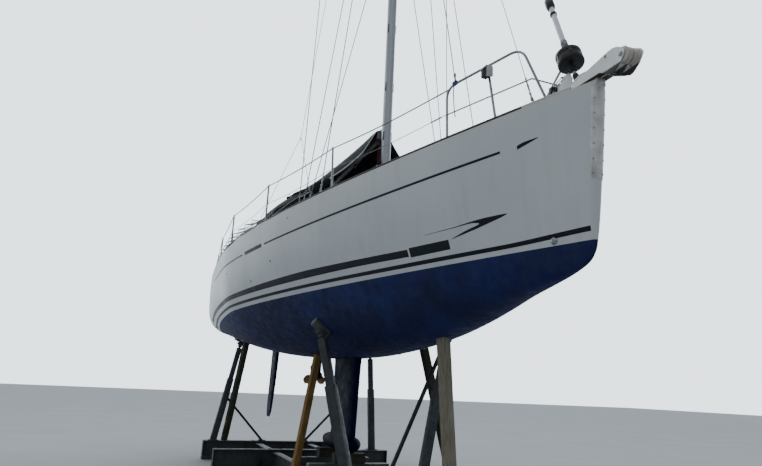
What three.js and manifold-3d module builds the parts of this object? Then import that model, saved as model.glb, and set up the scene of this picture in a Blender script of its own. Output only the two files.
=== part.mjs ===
// Sailing yacht, 12 m long, laid up ashore in a steel cradle with a winter tent over its boom.
// Millimetres, +X to the bow, +Y to port, +Z up. The yacht's own tables measure X from the transom
// and Z from the boot top, the upper edge of the antifouling paint. The outer group then moves
// everything so that the ground is at Z 0 and the whole length is centred on X 0.
import * as THREE from 'three';
import { mergeVertices } from 'three/addons/utils/BufferGeometryUtils.js';
import Module from 'manifold-3d';

const wasm = await Module();
wasm.setup();

// Driving dimensions
const HULL_LENGTH = 12000;
const ROLLER_REACH = 370;
const ROLLER_RADIUS = 62;
const BOOT_TOP_HEIGHT = 2600;
const GROUND = -BOOT_TOP_HEIGHT;
const TOUCH = 0.3;
const SHEER_AFT = 1012;
const SHEER_BOW = 1198;
const SHEER_SAG = 273;
const SHEER_BEAM = 1892;
const SHEER_TRANSOM_BEAM = 1498;
const WATERLINE_BEAM = 1665;
const WATERLINE_TRANSOM_BEAM = 1205;
const STEM_AT_BOOT_TOP = 11880;
const STEM_RAKE = 120;
const TRANSOM_RAKE = 400;
const DECK_THICKNESS = 35;
const DECK_CAMBER = 45;
const WELL_AFT = 420;
const WELL_FORWARD = 3300;
const WELL_HALF_WIDTH = 960;
const SEAT_HALF_WIDTH = 920;
const TUB_WALL = 60;
const TUB_BOTTOM = 380;
const SOLE_HEIGHT = 480;
const SEAT_HEIGHT = 800;
const FOOTWELL_HALF_WIDTH = 400;
const GATE_HALF_WIDTH = 330;
const COAMING_HEIGHT = 1290;
const ROOF_AFT = 3420;
const MAST_X = 7500;
const MAST_DEPTH = 200;
const MAST_WIDTH = 130;
const MASTHEAD = 15400;
const HOUNDS = 13350;
const LOWER_SPREADER_HEIGHT = 6750;
const UPPER_SPREADER_HEIGHT = 10300;
const CHAINPLATE_X = 7220;
const CHAINPLATE_Y = 1180;
const CHAINPLATE_HEIGHT = 1130;
const WIRE_RADIUS = 5;
const BOOM_PIVOT_X = 7330;
const BOOM_END_X = 2300;
const BOOM_HEIGHT = 2620;
const BOOM_DEPTH = 190;
const BOOM_WIDTH = 120;
const TENT_FRONT = 7290;
const TENT_FRONT_SLANT = 0.16;
const TENT_AFT = 1950;
const TENT_HEM_Y = 1500;
const TENT_HEM_HEIGHT = 1230;
const TENT_THICKNESS = 10;
// Columns: X of a section of the winter cover, height of its steep side above the hem
const TENT_RINGS = [[TENT_AFT, 220], [4600, 200], [6400, 110], [TENT_FRONT, 70]];
const RUDDER_STOCK_X = 950;
const RUDDER_STOCK_RADIUS = 45;
const STOCK_CLEARANCE = 1;
const PROPELLER_X = 4450;
const PROPELLER_HEIGHT = -950;
const PROPELLER_RADIUS = 225;
const WHEEL_X = 1500;
const WHEEL_HEIGHT = 1330;
const WHEEL_RADIUS = 440;
const FORESTAY_FOOT = [11760, 1290];
const FORESTAY_SLOPE = -2.81;
const RAIL_HEIGHT = 600;
const RAIL_RADIUS = 12.5;
const RAIL_INSET = 95;
const BEAM_TOP = -2250;
const KEEL_BOTTOM = -2050;

// Materials
function paint(color, roughness, metalness = 0) {
  return new THREE.MeshStandardMaterial({ color, roughness, metalness });
}

const gelcoat = paint(0xdfe3e6, 0.25);
const antifouling = paint(0x1c2f6e, 0.8);
const deckGelcoat = paint(0xd9dad4, 0.5);
const alloy = paint(0xb9bec4, 0.35, 0.9);
const stainless = paint(0xc4c8cc, 0.22, 1);
const blackPlastic = paint(0x17181a, 0.45);
const tintedAcrylic = paint(0x1a2126, 0.1);
const tentCloth = paint(0x26302d, 0.9);
const bronze = paint(0x9c7a45, 0.4, 0.9);
const galvanised = paint(0x8b9397, 0.6, 0.7);
const paleTimber = paint(0xb9ac8c, 0.85);
const yellowTimber = paint(0xc08a3a, 0.8);
const mossyTimber = paint(0x4a4c38, 0.9);

// Solids
function vec(x, y, z) {
  return new THREE.Vector3(x, y, z);
}

function signedVolume(geometry) {
  const position = geometry.attributes.position;
  const index = geometry.index.array;
  const corner = [vec(0, 0, 0), vec(0, 0, 0), vec(0, 0, 0)];
  let volume = 0;
  for (let i = 0; i < index.length; i += 3) {
    corner.forEach((c, k) => c.fromBufferAttribute(position, index[i + k]));
    volume += corner[0].dot(corner[1].clone().cross(corner[2])) / 6;
  }
  return volume;
}

function closed(geometry) {
  const bare = new THREE.BufferGeometry();
  bare.setAttribute('position', geometry.attributes.position.clone());
  if (geometry.index) {
    bare.setIndex(geometry.index.clone());
  }
  const merged = mergeVertices(bare, 0.001);
  if (signedVolume(merged) < 0) {
    const index = merged.index.array;
    for (let i = 0; i < index.length; i += 3) {
      [index[i], index[i + 1]] = [index[i + 1], index[i]];
    }
  }
  return merged;
}

function solid(geometry) {
  const merged = closed(geometry);
  const mesh = new wasm.Mesh({
    numProp: 3,
    vertProperties: new Float32Array(merged.attributes.position.array),
    triVerts: new Uint32Array(merged.index.array),
  });
  return new wasm.Manifold(mesh);
}

// Edges shorter than this, which cuts leave where round pieces cross, are drawn together to a point.
const SHORTEST_EDGE = 0.06;

function geometryOf(manifold) {
  const mesh = manifold.getMesh();
  const positions = new Float32Array(mesh.vertProperties);
  const keeper = Array.from({ length: positions.length / 3 }, (_, i) => i);
  const find = (i) => (keeper[i] === i ? i : find(keeper[i]));
  const apart = (a, b) => Math.hypot(...[0, 1, 2].map((k) => positions[3 * a + k] - positions[3 * b + k]));
  const corners = Array.from(mesh.triVerts);
  corners.forEach((a, i) => {
    const b = corners[i % 3 === 2 ? i - 2 : i + 1];
    const [ra, rb] = [find(a), find(b)];
    if (ra !== rb && apart(ra, rb) < SHORTEST_EDGE) {
      keeper[Math.max(ra, rb)] = Math.min(ra, rb);
    }
  });
  const index = [];
  for (let i = 0; i < corners.length; i += 3) {
    const [a, b, c] = corners.slice(i, i + 3).map(find);
    if (a !== b && b !== c && c !== a) {
      index.push(a, b, c);
    }
  }
  const geometry = new THREE.BufferGeometry();
  geometry.setAttribute('position', new THREE.BufferAttribute(positions, 3));
  geometry.setIndex(index);
  return mergeVertices(geometry, 1e-4);
}

function union(solids) {
  return solids.reduce((whole, next) => whole.add(next));
}

// A skin over rings of equal point counts, closed at both ends by a fan about each ring's centre.
function loft(rings) {
  const count = rings[0].length;
  const points = rings.flat();
  const index = [];
  for (let r = 0; r + 1 < rings.length; r += 1) {
    for (let k = 0; k < count; k += 1) {
      const a = r * count + k;
      const b = r * count + ((k + 1) % count);
      index.push(a, b, b + count, a, b + count, a + count);
    }
  }
  const ends = [0, rings.length - 1];
  for (const end of ends) {
    const centre = rings[end].reduce((sum, p) => sum.add(p), vec(0, 0, 0)).divideScalar(count);
    const hub = points.push(centre) - 1;
    for (let k = 0; k < count; k += 1) {
      const a = end * count + k;
      const b = end * count + ((k + 1) % count);
      index.push(...(end === 0 ? [hub, b, a] : [hub, a, b]));
    }
  }
  const geometry = new THREE.BufferGeometry();
  const numbers = points.flatMap((p) => [p.x, p.y, p.z]);
  geometry.setAttribute('position', new THREE.Float32BufferAttribute(numbers, 3));
  geometry.setIndex(index);
  return solid(geometry);
}

function block(x0, x1, y0, y1, z0, z1) {
  const box = new THREE.BoxGeometry(x1 - x0, y1 - y0, z1 - z0);
  box.translate((x0 + x1) / 2, (y0 + y1) / 2, (z0 + z1) / 2);
  return solid(box);
}

function rod(from, to, radius, sides = 8, endRadius = radius) {
  const axis = to.clone().sub(from);
  const cylinder = new THREE.CylinderGeometry(endRadius, radius, axis.length(), sides);
  cylinder.applyQuaternion(new THREE.Quaternion().setFromUnitVectors(vec(0, 1, 0), axis.clone().normalize()));
  const middle = from.clone().add(to).divideScalar(2);
  cylinder.translate(middle.x, middle.y, middle.z);
  return solid(cylinder);
}

// A bar of rectangular section between two points: width across, depth along the other way.
function bar(from, to, width, depth) {
  const axis = to.clone().sub(from);
  const box = new THREE.BoxGeometry(depth, axis.length(), width);
  box.applyQuaternion(new THREE.Quaternion().setFromUnitVectors(vec(0, 1, 0), axis.clone().normalize()));
  const middle = from.clone().add(to).divideScalar(2);
  box.translate(middle.x, middle.y, middle.z);
  return solid(box);
}

// A round tube along a bent line, its corners rounded with a radius.
function tube(points, radius, corner = 60, sides = 8) {
  const path = new THREE.CurvePath();
  let last = points[0];
  for (let i = 1; i + 1 < points.length; i += 1) {
    const back = points[i - 1].clone().sub(points[i]);
    const on = points[i + 1].clone().sub(points[i]);
    const cut = Math.min(corner, back.length() / 2.1, on.length() / 2.1);
    const start = points[i].clone().add(back.setLength(cut));
    const end = points[i].clone().add(on.setLength(cut));
    path.add(new THREE.LineCurve3(last, start));
    path.add(new THREE.QuadraticBezierCurve3(start, points[i], end));
    last = end;
  }
  path.add(new THREE.LineCurve3(last, points[points.length - 1]));
  const centres = [];
  path.curves.forEach((curve, i) => {
    const steps = curve instanceof THREE.LineCurve3 ? 1 : 4;
    for (let s = i === 0 ? 0 : 1; s <= steps; s += 1) {
      centres.push(curve.getPoint(s / steps));
    }
  });
  return sweep(centres, radius, sides);
}

function sweep(centres, radius, sides) {
  let side = null;
  const rings = centres.map((centre, i) => {
    const before = centres[Math.max(i - 1, 0)];
    const after = centres[Math.min(i + 1, centres.length - 1)];
    const along = after.clone().sub(before).normalize();
    const seed = side ?? (Math.abs(along.z) < 0.9 ? vec(0, 0, 1) : vec(0, 1, 0));
    side = seed.clone().addScaledVector(along, -seed.dot(along)).normalize();
    const other = along.clone().cross(side);
    return Array.from({ length: sides }, (_, k) => {
      const turn = (2 * Math.PI * k) / sides;
      const out = side.clone().multiplyScalar(Math.cos(turn) * radius);
      return centre.clone().add(out).addScaledVector(other, Math.sin(turn) * radius);
    });
  });
  return loft(rings);
}

// An outline in the X-Z plane, as thick as it reaches from one Y to the other.
function plate(outline, y0, y1) {
  const shape = new THREE.Shape(outline.map(([x, z]) => new THREE.Vector2(x, z)));
  const extrusion = new THREE.ExtrudeGeometry(shape, { depth: y1 - y0, bevelEnabled: false });
  extrusion.rotateX(Math.PI / 2);
  extrusion.translate(0, y1, 0);
  return solid(extrusion);
}

function disc(profile, sides) {
  const lathe = new THREE.LatheGeometry(profile.map(([r, h]) => new THREE.Vector2(r, h)), sides);
  lathe.rotateX(Math.PI / 2);
  return lathe;
}

const yacht = new THREE.Group();

function add(name, shape, material) {
  const mesh = new THREE.Mesh(geometryOf(shape), material);
  mesh.name = name;
  yacht.add(mesh);
}

// Hull lines
const clamp = (value, low, high) => Math.min(Math.max(value, low), high);

function bowRake(x) {
  return STEM_RAKE * clamp((x - 9000) / (STEM_AT_BOOT_TOP - 9000), 0, 1);
}

function sternRake(x) {
  return TRANSOM_RAKE * clamp(1 - x / 1500, 0, 1);
}

function sheerHeight(x) {
  const t = x / HULL_LENGTH;
  return SHEER_AFT + (SHEER_BOW - SHEER_AFT) * t * t - SHEER_SAG * t * (1 - t);
}

function sheerBeam(x) {
  const widest = 5200;
  if (x > widest) {
    return 50 + (SHEER_BEAM - 50) * (1 - clamp((x - widest) / (HULL_LENGTH - widest), 0, 1) ** 1.563);
  }
  return SHEER_TRANSOM_BEAM + (SHEER_BEAM - SHEER_TRANSOM_BEAM) * (1 - ((widest - x) / widest) ** 2);
}

function waterlineBeam(x) {
  const widest = 5000;
  if (x > widest) {
    const forward = clamp((x - widest) / (STEM_AT_BOOT_TOP - widest), 0, 1);
    return 20 + (WATERLINE_BEAM - 20) * (1 - forward ** 1.404);
  }
  const spread = WATERLINE_BEAM - WATERLINE_TRANSOM_BEAM;
  return WATERLINE_TRANSOM_BEAM + spread * (1 - ((widest - x) / 4600) ** 2);
}

// Columns: X of the station at the boot top, height of the hull's bottom line there
const STATIONS = [
  [0, -50],
  [500, -125],
  [1100, -215],
  [1900, -335],
  [2800, -455],
  [3800, -570],
  [4900, -655],
  [6000, -695],
  [7000, -705],
  [7900, -685],
  [8700, -645],
  [9400, -580],
  [10000, -495],
  [10500, -402],
  [10900, -320],
  [11250, -268],
  [11500, -230],
  [11680, -190],
  [11790, -150],
  [11850, -90],
  [STEM_AT_BOOT_TOP, -10],
];

// The section's fullness is the exponent that carries it through the boot top's half breadth.
function fullness(beam, waterBeam, sheer, depth) {
  let low = 0.8;
  let high = 4;
  for (let i = 0; i < 30; i += 1) {
    const n = (low + high) / 2;
    if ((waterBeam / beam) ** n + (sheer / depth) ** n > 1) {
      low = n;
    } else {
      high = n;
    }
  }
  return (low + high) / 2;
}

function atSheer(x) {
  return x + bowRake(x) + sternRake(x);
}

const HALF_SECTION_STEPS = 11;

function hullRing([x, bottom]) {
  const sheerX = atSheer(x);
  const sheer = sheerHeight(sheerX);
  const beam = sheerBeam(sheerX);
  const depth = sheer - bottom;
  const n = fullness(beam, waterlineBeam(x), sheer, depth);
  const ring = [];
  for (let k = -HALF_SECTION_STEPS; k <= HALF_SECTION_STEPS; k += 1) {
    const turn = (Math.abs(k) / HALF_SECTION_STEPS) * (Math.PI / 2);
    const y = Math.sign(k) * beam * Math.sin(turn) ** (2 / n);
    const z = sheer - depth * Math.max(Math.cos(turn), 0) ** (2 / n);
    const rake = (bowRake(x) + sternRake(x)) * clamp(z / sheer, 0, 1);
    ring.push(vec(x + rake, y, z));
  }
  return ring;
}

const hullBody = loft(STATIONS.map(hullRing));
const hullGap = hullBody.translate([0, 0, -TOUCH]);

function camber(x) {
  return (DECK_CAMBER * sheerBeam(x)) / SHEER_BEAM;
}

// Deck moulding: side decks, coachroof and cockpit in one piece
function deckRing([x]) {
  const sheerX = atSheer(x);
  const z = sheerHeight(sheerX) + TOUCH;
  const b = sheerBeam(sheerX) - 4;
  const rise = (share) => z + DECK_THICKNESS + camber(sheerX) * (1 - share * share);
  return [
    vec(sheerX, -b, z),
    vec(sheerX, b, z),
    vec(sheerX, b, rise(1)),
    vec(sheerX, b * 0.5, rise(0.5)),
    vec(sheerX, 0, rise(0)),
    vec(sheerX, -b * 0.5, rise(0.5)),
    vec(sheerX, -b, rise(1)),
  ];
}

function deckTop(x, y = 0) {
  const share = y / sheerBeam(x);
  return sheerHeight(x) + TOUCH + DECK_THICKNESS + camber(x) * (1 - share * share);
}

// Columns: X, half width at the deck, half width at the top, height of the top at the middle
const ROOF = [
  [ROOF_AFT, 1240, 1120, 1500],
  [4600, 1270, 1150, 1490],
  [6000, 1220, 1100, 1460],
  [7200, 1080, 960, 1415],
  [8200, 880, 750, 1355],
  [8900, 680, 540, 1280],
  [9350, 480, 360, 1230],
  [9600, 330, 250, 1190],
];

function roofSolid(offset) {
  const rings = ROOF.map(([x, base, top, height]) => {
    const low = sheerHeight(x) + 12;
    const high = height - 45 + offset;
    return [
      vec(x, -base - offset, low),
      vec(x, base + offset, low),
      vec(x, top + offset, high - 25),
      vec(x, top - 50 + offset, high),
      vec(x, 0, high + 45),
      vec(x, -top + 50 - offset, high),
      vec(x, -top - offset, high - 25),
    ];
  });
  return loft(rings);
}

const WINDOW = { aft: 3900, forward: 7300, low: 1180, high: 1330, recess: 12 };

function windowBand(side, grow) {
  const { aft, forward, low, high } = WINDOW;
  const outline = [
    [aft - 2 * grow, low - grow],
    [forward - 300 + grow, low - grow],
    [forward + grow, (low + high) / 2 - 20],
    [forward - 120 + grow, high - 30 + grow],
    [aft + 160 - 2 * grow, high + grow],
  ];
  return side > 0 ? plate(outline, 600, 1700) : plate(outline, -1700, -600);
}

function hatchRim({ aft, forward, halfWidth, root, top }) {
  return block(aft, forward, -halfWidth, halfWidth, root, top);
}

const FORE_HATCH = { aft: 9720, forward: 10240, halfWidth: 260, root: 1125, top: 1200, lid: 28 };
const SALOON_HATCH = { aft: 5700, forward: 6200, halfWidth: 250, root: 1300, top: 1490, lid: 28 };
const ANCHOR_LOCKER = { aft: 10520, forward: 11060, halfWidth: 230, root: 1160, top: 1225, lid: 22 };
const SLIDE = { aft: 3380, forward: 4080, halfWidth: 340, under: 1512, thickness: 35 };
const LOCKER = { aft: 1900, forward: 3100, inner: 470, outer: 880, thickness: 24 };

function cockpitTub() {
  const tub = block(WELL_AFT, WELL_FORWARD, -WELL_HALF_WIDTH, WELL_HALF_WIDTH, TUB_BOTTOM, 1120);
  const seats = block(
    WELL_AFT + TUB_WALL, WELL_FORWARD + 10, -SEAT_HALF_WIDTH, SEAT_HALF_WIDTH, SEAT_HEIGHT, 1400);
  return tub.subtract(seats).subtract(footwell);
}

const footwell = block(
  WELL_AFT + TUB_WALL, WELL_FORWARD - TUB_WALL, -FOOTWELL_HALF_WIDTH, FOOTWELL_HALF_WIDTH, SOLE_HEIGHT, 1700);

const tubSpace = block(
  WELL_AFT - TOUCH, WELL_FORWARD + TOUCH, -WELL_HALF_WIDTH - TOUCH, WELL_HALF_WIDTH + TOUCH,
  TUB_BOTTOM - TOUCH, 1600);
const gate = block(-TRANSOM_RAKE, WELL_AFT + 80, -GATE_HALF_WIDTH, GATE_HALF_WIDTH, SOLE_HEIGHT, 1700);
const wellAir = block(
  WELL_AFT + TUB_WALL, WELL_FORWARD - TUB_WALL, -SEAT_HALF_WIDTH, SEAT_HALF_WIDTH, SEAT_HEIGHT, 1700);
const coaming = [1, -1].map((side) => loft([
  [700, 1085],
  [2000, 1090],
  [WELL_FORWARD + 130, 1130],
].map(([x, outer]) => {
  const inner = WELL_HALF_WIDTH - 38;
  const top = x < 800 ? COAMING_HEIGHT - 130 : COAMING_HEIGHT;
  return [
    vec(x, side * inner, 1000),
    vec(x, side * (outer + 40), 1000),
    vec(x, side * outer, top - 20),
    vec(x, side * (outer - 20), top),
    vec(x, side * inner, top),
  ];
})));

function deckMoulding() {
  const bulkheadBand = block(ROOF_AFT - 20, ROOF_AFT + 30, -280, 280, 1000, 1600);
  let moulding = union([
    loft(STATIONS.map(deckRing)),
    roofSolid(0),
    ...coaming,
    ...[FORE_HATCH, SALOON_HATCH, ANCHOR_LOCKER].map(hatchRim),
    block(ROOF_AFT, 4900, -SLIDE.halfWidth, SLIDE.halfWidth, 1380, SLIDE.under - TOUCH),
    block(2700, 2900, 1000, 1130, 1200, COAMING_HEIGHT + 10),
    block(2700, 2900, -1130, -1000, 1200, COAMING_HEIGHT + 10),
  ]);
  moulding = moulding.subtract(wellAir).add(cockpitTub().subtract(wellAir)).subtract(footwell).subtract(gate);
  for (const side of [1, -1]) {
    moulding = moulding.subtract(windowBand(side, 2 * TOUCH).subtract(roofSolid(-WINDOW.recess)));
  }
  return moulding.subtract(bulkheadBand);
}

const hull = hullBody
  .subtract(tubSpace)
  .subtract(gate)
  .subtract(rod(vec(RUDDER_STOCK_X, 0, -600), vec(RUDDER_STOCK_X, 0, 400),
    RUDDER_STOCK_RADIUS + STOCK_CLEARANCE, 24));
const deck = deckMoulding();
add('hull', hull, gelcoat);
add('deck_moulding', deck, deckGelcoat);
for (const [side, word] of [[1, 'port'], [-1, 'starboard']]) {
  const glass = windowBand(side, 0).intersect(roofSolid(4)).subtract(roofSolid(-WINDOW.recess + TOUCH));
  add(`window_${word}`, glass, tintedAcrylic);
}

// Toe rails along the deck edge
function toeRail(side) {
  const rings = STATIONS.filter(([x]) => x < 11700).map(([x]) => {
    const sheerX = atSheer(x);
    const outer = sheerBeam(sheerX) - 8;
    const inner = outer - 34;
    const low = deckTop(sheerX, outer) - 4;
    return [
      vec(sheerX, side * inner, low),
      vec(sheerX, side * outer, low),
      vec(sheerX, side * outer, low + 43),
      vec(sheerX, side * inner, low + 43),
    ];
  });
  return loft(rings).subtract(deck.translate([0, 0, TOUCH]));
}

add('toe_rail_port', toeRail(1), alloy);
add('toe_rail_starboard', toeRail(-1), alloy);

// Keel, rudder and sail drive
function foilRing(leading, trailing, z, thickness, steps = 8) {
  const chord = leading - trailing;
  const ring = [];
  const half = (t) => thickness * 2.97 * (Math.sqrt(t) - t) * (1 - 0.35 * t) * 0.5 + 2;
  for (let k = 0; k <= steps; k += 1) {
    const t = (k / steps) ** 1.6;
    ring.push(vec(leading - chord * t, half(t), z));
  }
  for (let k = steps; k >= 0; k -= 1) {
    const t = (k / steps) ** 1.6;
    ring.push(vec(leading - chord * t, -half(t), z));
  }
  return ring;
}

// Columns: height, leading edge X, trailing edge X, thickness
const KEEL = [
  [-560, 6870, 5590, 190],
  [-780, 6820, 5630, 170],
  [-1650, 6730, 5640, 170],
  [KEEL_BOTTOM + 10, 6695, 5560, 200],
];
// Columns: X, half width, half height of the ballast bulb
const BULB = [
  [6840, 15, 15],
  [6780, 80, 70],
  [6600, 150, 110],
  [6200, 185, 125],
  [5800, 165, 115],
  [5450, 80, 75],
  [5280, 15, 30],
];

function bulb() {
  const sides = 14;
  const centre = KEEL_BOTTOM + 125;
  return loft(BULB.map(([x, halfWidth, halfHeight]) => Array.from({ length: sides }, (_, k) => {
    const turn = (2 * Math.PI * (k + 0.5)) / sides;
    return vec(x, halfWidth * Math.cos(turn), Math.max(centre + halfHeight * Math.sin(turn), KEEL_BOTTOM));
  })));
}

const fin = loft(KEEL.map(([z, leading, trailing, thickness]) => foilRing(leading, trailing, z, thickness)));
add('keel', fin.subtract(hullGap).add(bulb()), antifouling);

// Columns: height, leading edge X, trailing edge X, thickness
const RUDDER = [
  [-300, 1250, 560, 120],
  [-900, 1160, 520, 105],
  [-1600, 990, 470, 70],
  [-1830, 900, 480, 40],
  [-1860, 840, 520, 20],
];
const rudderBlade = loft(RUDDER.map(([z, leading, trailing, t]) => foilRing(leading, trailing, z, t)));
const rudderStock = rod(vec(RUDDER_STOCK_X, 0, -700), vec(RUDDER_STOCK_X, 0, 360), RUDDER_STOCK_RADIUS, 24);
add('rudder', rudderBlade.add(rudderStock), antifouling);

const legX = PROPELLER_X + 160;
const driveLeg = union([
  loft([
    foilRing(legX + 150, legX - 110, -450, 110),
    foilRing(legX + 130, legX - 100, PROPELLER_HEIGHT, 90),
  ]),
  rod(vec(legX + 190, 0, PROPELLER_HEIGHT), vec(legX - 120, 0, PROPELLER_HEIGHT), 62, 16),
  rod(vec(legX - 100, 0, PROPELLER_HEIGHT), vec(PROPELLER_X - 40, 0, PROPELLER_HEIGHT), 16, 16),
]);
add('sail_drive_leg', driveLeg.subtract(hullGap), antifouling);

function propeller() {
  const hub = rod(vec(PROPELLER_X + 34, 0, 0), vec(PROPELLER_X - 80, 0, 0), 52, 18, 26);
  const bladeHalf = 95;
  const pitch = 0.5;
  const blades = [0, 1, 2].map((k) => {
    const blade = new THREE.CylinderGeometry(bladeHalf, bladeHalf, 12, 16);
    blade.rotateZ(Math.PI / 2);
    blade.scale(1, 0.75, 1);
    blade.rotateZ(pitch);
    blade.translate(PROPELLER_X - 20, 0, PROPELLER_RADIUS - bladeHalf);
    blade.rotateX((2 * Math.PI * k) / 3);
    return solid(blade);
  });
  const bore = rod(vec(PROPELLER_X + 60, 0, 0), vec(PROPELLER_X - 46, 0, 0), 16.8, 24);
  return union([hub, ...blades]).subtract(bore).translate([0, 0, PROPELLER_HEIGHT]);
}

add('propeller', propeller(), bronze);

// Stem plate, forestay plate and bow roller
const rollerX = 12290;
const rollerZ = 1290;
const STEM_PLATE = { low: 460, back: 90, thickness: 7 };
const stemBand = hullBody.translate([STEM_PLATE.thickness, 0, 0]).intersect(
  block(STEM_AT_BOOT_TOP - STEM_PLATE.back + 60, 12100, -120, 120, STEM_PLATE.low, 1185));
const stemFitting = union([
  plate([[11600, 1210], [11600, 1300], [11790, 1390], [11990, 1300], [12005, 1255], [12005, 1210]], -22, 22),
  block(11450, 12006, -40, 40, 1205, 1255),
]).subtract(deck.translate([0, 0, TOUCH]))
  .add(stemBand.subtract(hullBody.translate([TOUCH, 0, 0])))
  .add(block(12000.4, 12007, -50, 50, 1150, 1254));
add('stem_fitting', stemFitting, stainless);

// A cheek is a wedge with an undercut nose, front being the X of that nose
function cheekOutline(front) {
  return [[11560, 1256], [11640, 1290], [front - 170, 1376], [front - 75, 1370], [front, 1312],
    [front - 40, 1235], [front - 130, 1180], [12060, 1256]];
}

function bowRoller() {
  const portFront = HULL_LENGTH + ROLLER_REACH;
  const cheeks = [[62, 70, portFront], [-4, 4, portFront - 40], [-70, -62, portFront - 45]].map(
    ([y0, y1, front]) => plate(cheekOutline(front), y0, y1));
  const pin = rod(vec(rollerX, -74, rollerZ), vec(rollerX, 74, rollerZ), 9, 12);
  const floor = block(11560, 12080, -70, 70, 1254, 1267);
  return union([...cheeks, pin, floor]);
}

const stemFittingRoom = stemFitting.add(stemFitting.translate([0, 0, TOUCH]));
add('bow_roller_cheeks', bowRoller().subtract(stemFittingRoom), galvanised);

function anchorRoller(y0, y1) {
  const profile = [[9.8, y0], [ROLLER_RADIUS, y0], [ROLLER_RADIUS - 20, (y0 + y1) / 2], [ROLLER_RADIUS, y1],
    [9.8, y1], [9.8, y0]];
  const wheel = new THREE.LatheGeometry(profile.map(([r, h]) => new THREE.Vector2(r, h)), 20);
  return solid(wheel).translate([rollerX, 0, rollerZ]);
}

add('anchor_roller_port', anchorRoller(9, 57), blackPlastic);
add('anchor_roller_starboard', anchorRoller(-57, -9), blackPlastic);

// Guard rails
function railPoint(x, side, lift = 0, inset = RAIL_INSET) {
  const y = sheerBeam(x) - inset;
  return vec(x, side * y, deckTop(x, y) + lift);
}

function pulpit() {
  const top = 590;
  const parts = [];
  for (const side of [1, -1]) {
    const foot = railPoint(10510, side, 0);
    parts.push(tube([
      foot,
      foot.clone().add(vec(-20, 0, top)),
      railPoint(11310, side, top + 40),
      vec(11540, side * 150, deckTop(11540) + 20),
    ], RAIL_RADIUS, 120));
    parts.push(tube([
      railPoint(11080, side, 0),
      railPoint(11050, side, top),
    ], RAIL_RADIUS));
    parts.push(tube([
      railPoint(10500, side, 300),
      railPoint(11400, side, 290),
    ], RAIL_RADIUS - 2));
    for (const foot2 of [railPoint(10510, side, 0), railPoint(11080, side, 0)]) {
      parts.push(rod(foot2.clone().add(vec(0, 0, -2)), foot2.clone().add(vec(0, 0, 12)), 32, 10));
    }
  }
  const noseLow = railPoint(11400, 1, 290);
  parts.push(rod(noseLow, vec(noseLow.x, -noseLow.y, noseLow.z), RAIL_RADIUS - 2, 8));
  return union(parts);
}

const deckCover = deck.translate([0, 0, TOUCH]);
add('pulpit', pulpit().subtract(deckCover), stainless);

function pushpit(side) {
  const parts = [
    tube([
      railPoint(1750, side, 0),
      railPoint(1700, side, RAIL_HEIGHT),
      railPoint(620, side, RAIL_HEIGHT),
      vec(500, side * 1150, deckTop(500) + RAIL_HEIGHT),
      vec(500, side * 520, deckTop(500) + RAIL_HEIGHT),
      vec(520, side * 500, deckTop(520, 500)),
    ], RAIL_RADIUS, 140),
    tube([
      railPoint(1725, side, 310),
      railPoint(620, side, 310),
      vec(500, side * 1150, deckTop(500) + 310),
      vec(505, side * 510, deckTop(500) + 310),
    ], RAIL_RADIUS - 2, 140),
    rod(railPoint(700, side), railPoint(700, side, RAIL_HEIGHT), RAIL_RADIUS, 8),
  ];
  return union(parts);
}

add('pushpit_port', pushpit(1).subtract(deckCover), stainless);
add('pushpit_starboard', pushpit(-1).subtract(deckCover), stainless);

const STANCHION_X = [8720, 6950, 5150, 3350];

function guardRail(side) {
  const parts = STANCHION_X.flatMap((x) => [
    rod(railPoint(x, side), railPoint(x, side, RAIL_HEIGHT), RAIL_RADIUS, 8),
    rod(railPoint(x, side, -2), railPoint(x, side, 45), 22, 8),
  ]);
  const ends = [10440, ...STANCHION_X, 1780];
  for (const lift of [RAIL_HEIGHT - 15, 310]) {
    const run = ends.map((x) => railPoint(x, side, lift, RAIL_INSET - 3));
    parts.push(sweep(run, WIRE_RADIUS - 1, 6));
  }
  return union(parts);
}

add('guard_rail_port', guardRail(1).subtract(deckCover), stainless);
add('guard_rail_starboard', guardRail(-1).subtract(deckCover), stainless);

// Mast, spreaders and stays
function mastRing(z, scale) {
  const sides = 14;
  return Array.from({ length: sides }, (_, k) => {
    const turn = (2 * Math.PI * k) / sides;
    const x = MAST_X + (MAST_DEPTH / 2) * scale * Math.cos(turn);
    return vec(x, (MAST_WIDTH / 2) * scale * Math.sin(turn), z);
  });
}

const mastTube = loft([mastRing(1250, 1), mastRing(12500, 1), mastRing(MASTHEAD, 0.72)]);
const tightMast = loft([mastRing(1250, 1.006), mastRing(12500, 1.006), mastRing(MASTHEAD, 0.726)]);
const gooseneckPin = rod(
  vec(BOOM_PIVOT_X, 0, BOOM_HEIGHT - 70), vec(BOOM_PIVOT_X, 0, BOOM_HEIGHT + 70), 12, 16);
const gooseneck = union([
  block(BOOM_PIVOT_X - 35, MAST_X - 60, -28, 28, BOOM_HEIGHT - 75, BOOM_HEIGHT - 55),
  block(BOOM_PIVOT_X - 35, MAST_X - 60, -28, 28, BOOM_HEIGHT + 55, BOOM_HEIGHT + 75),
  gooseneckPin,
]);
const mast = union([
  mastTube,
  gooseneck,
  block(MAST_X - 320, MAST_X + 260, -14, 14, MASTHEAD - 60, MASTHEAD - 10),
  block(MAST_X + 60, MAST_X + 190, -12, 12, HOUNDS - 60, HOUNDS + 60),
]).subtract(deckCover);
add('mast', mast, alloy);

const SPREADERS = [
  ['lower', LOWER_SPREADER_HEIGHT, 1060, 170],
  ['upper', UPPER_SPREADER_HEIGHT, 780, 120],
];

function spreaderTip(side, height, reach, sweepBack) {
  return vec(MAST_X - 90 - sweepBack, side * reach, height + 60);
}

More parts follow.
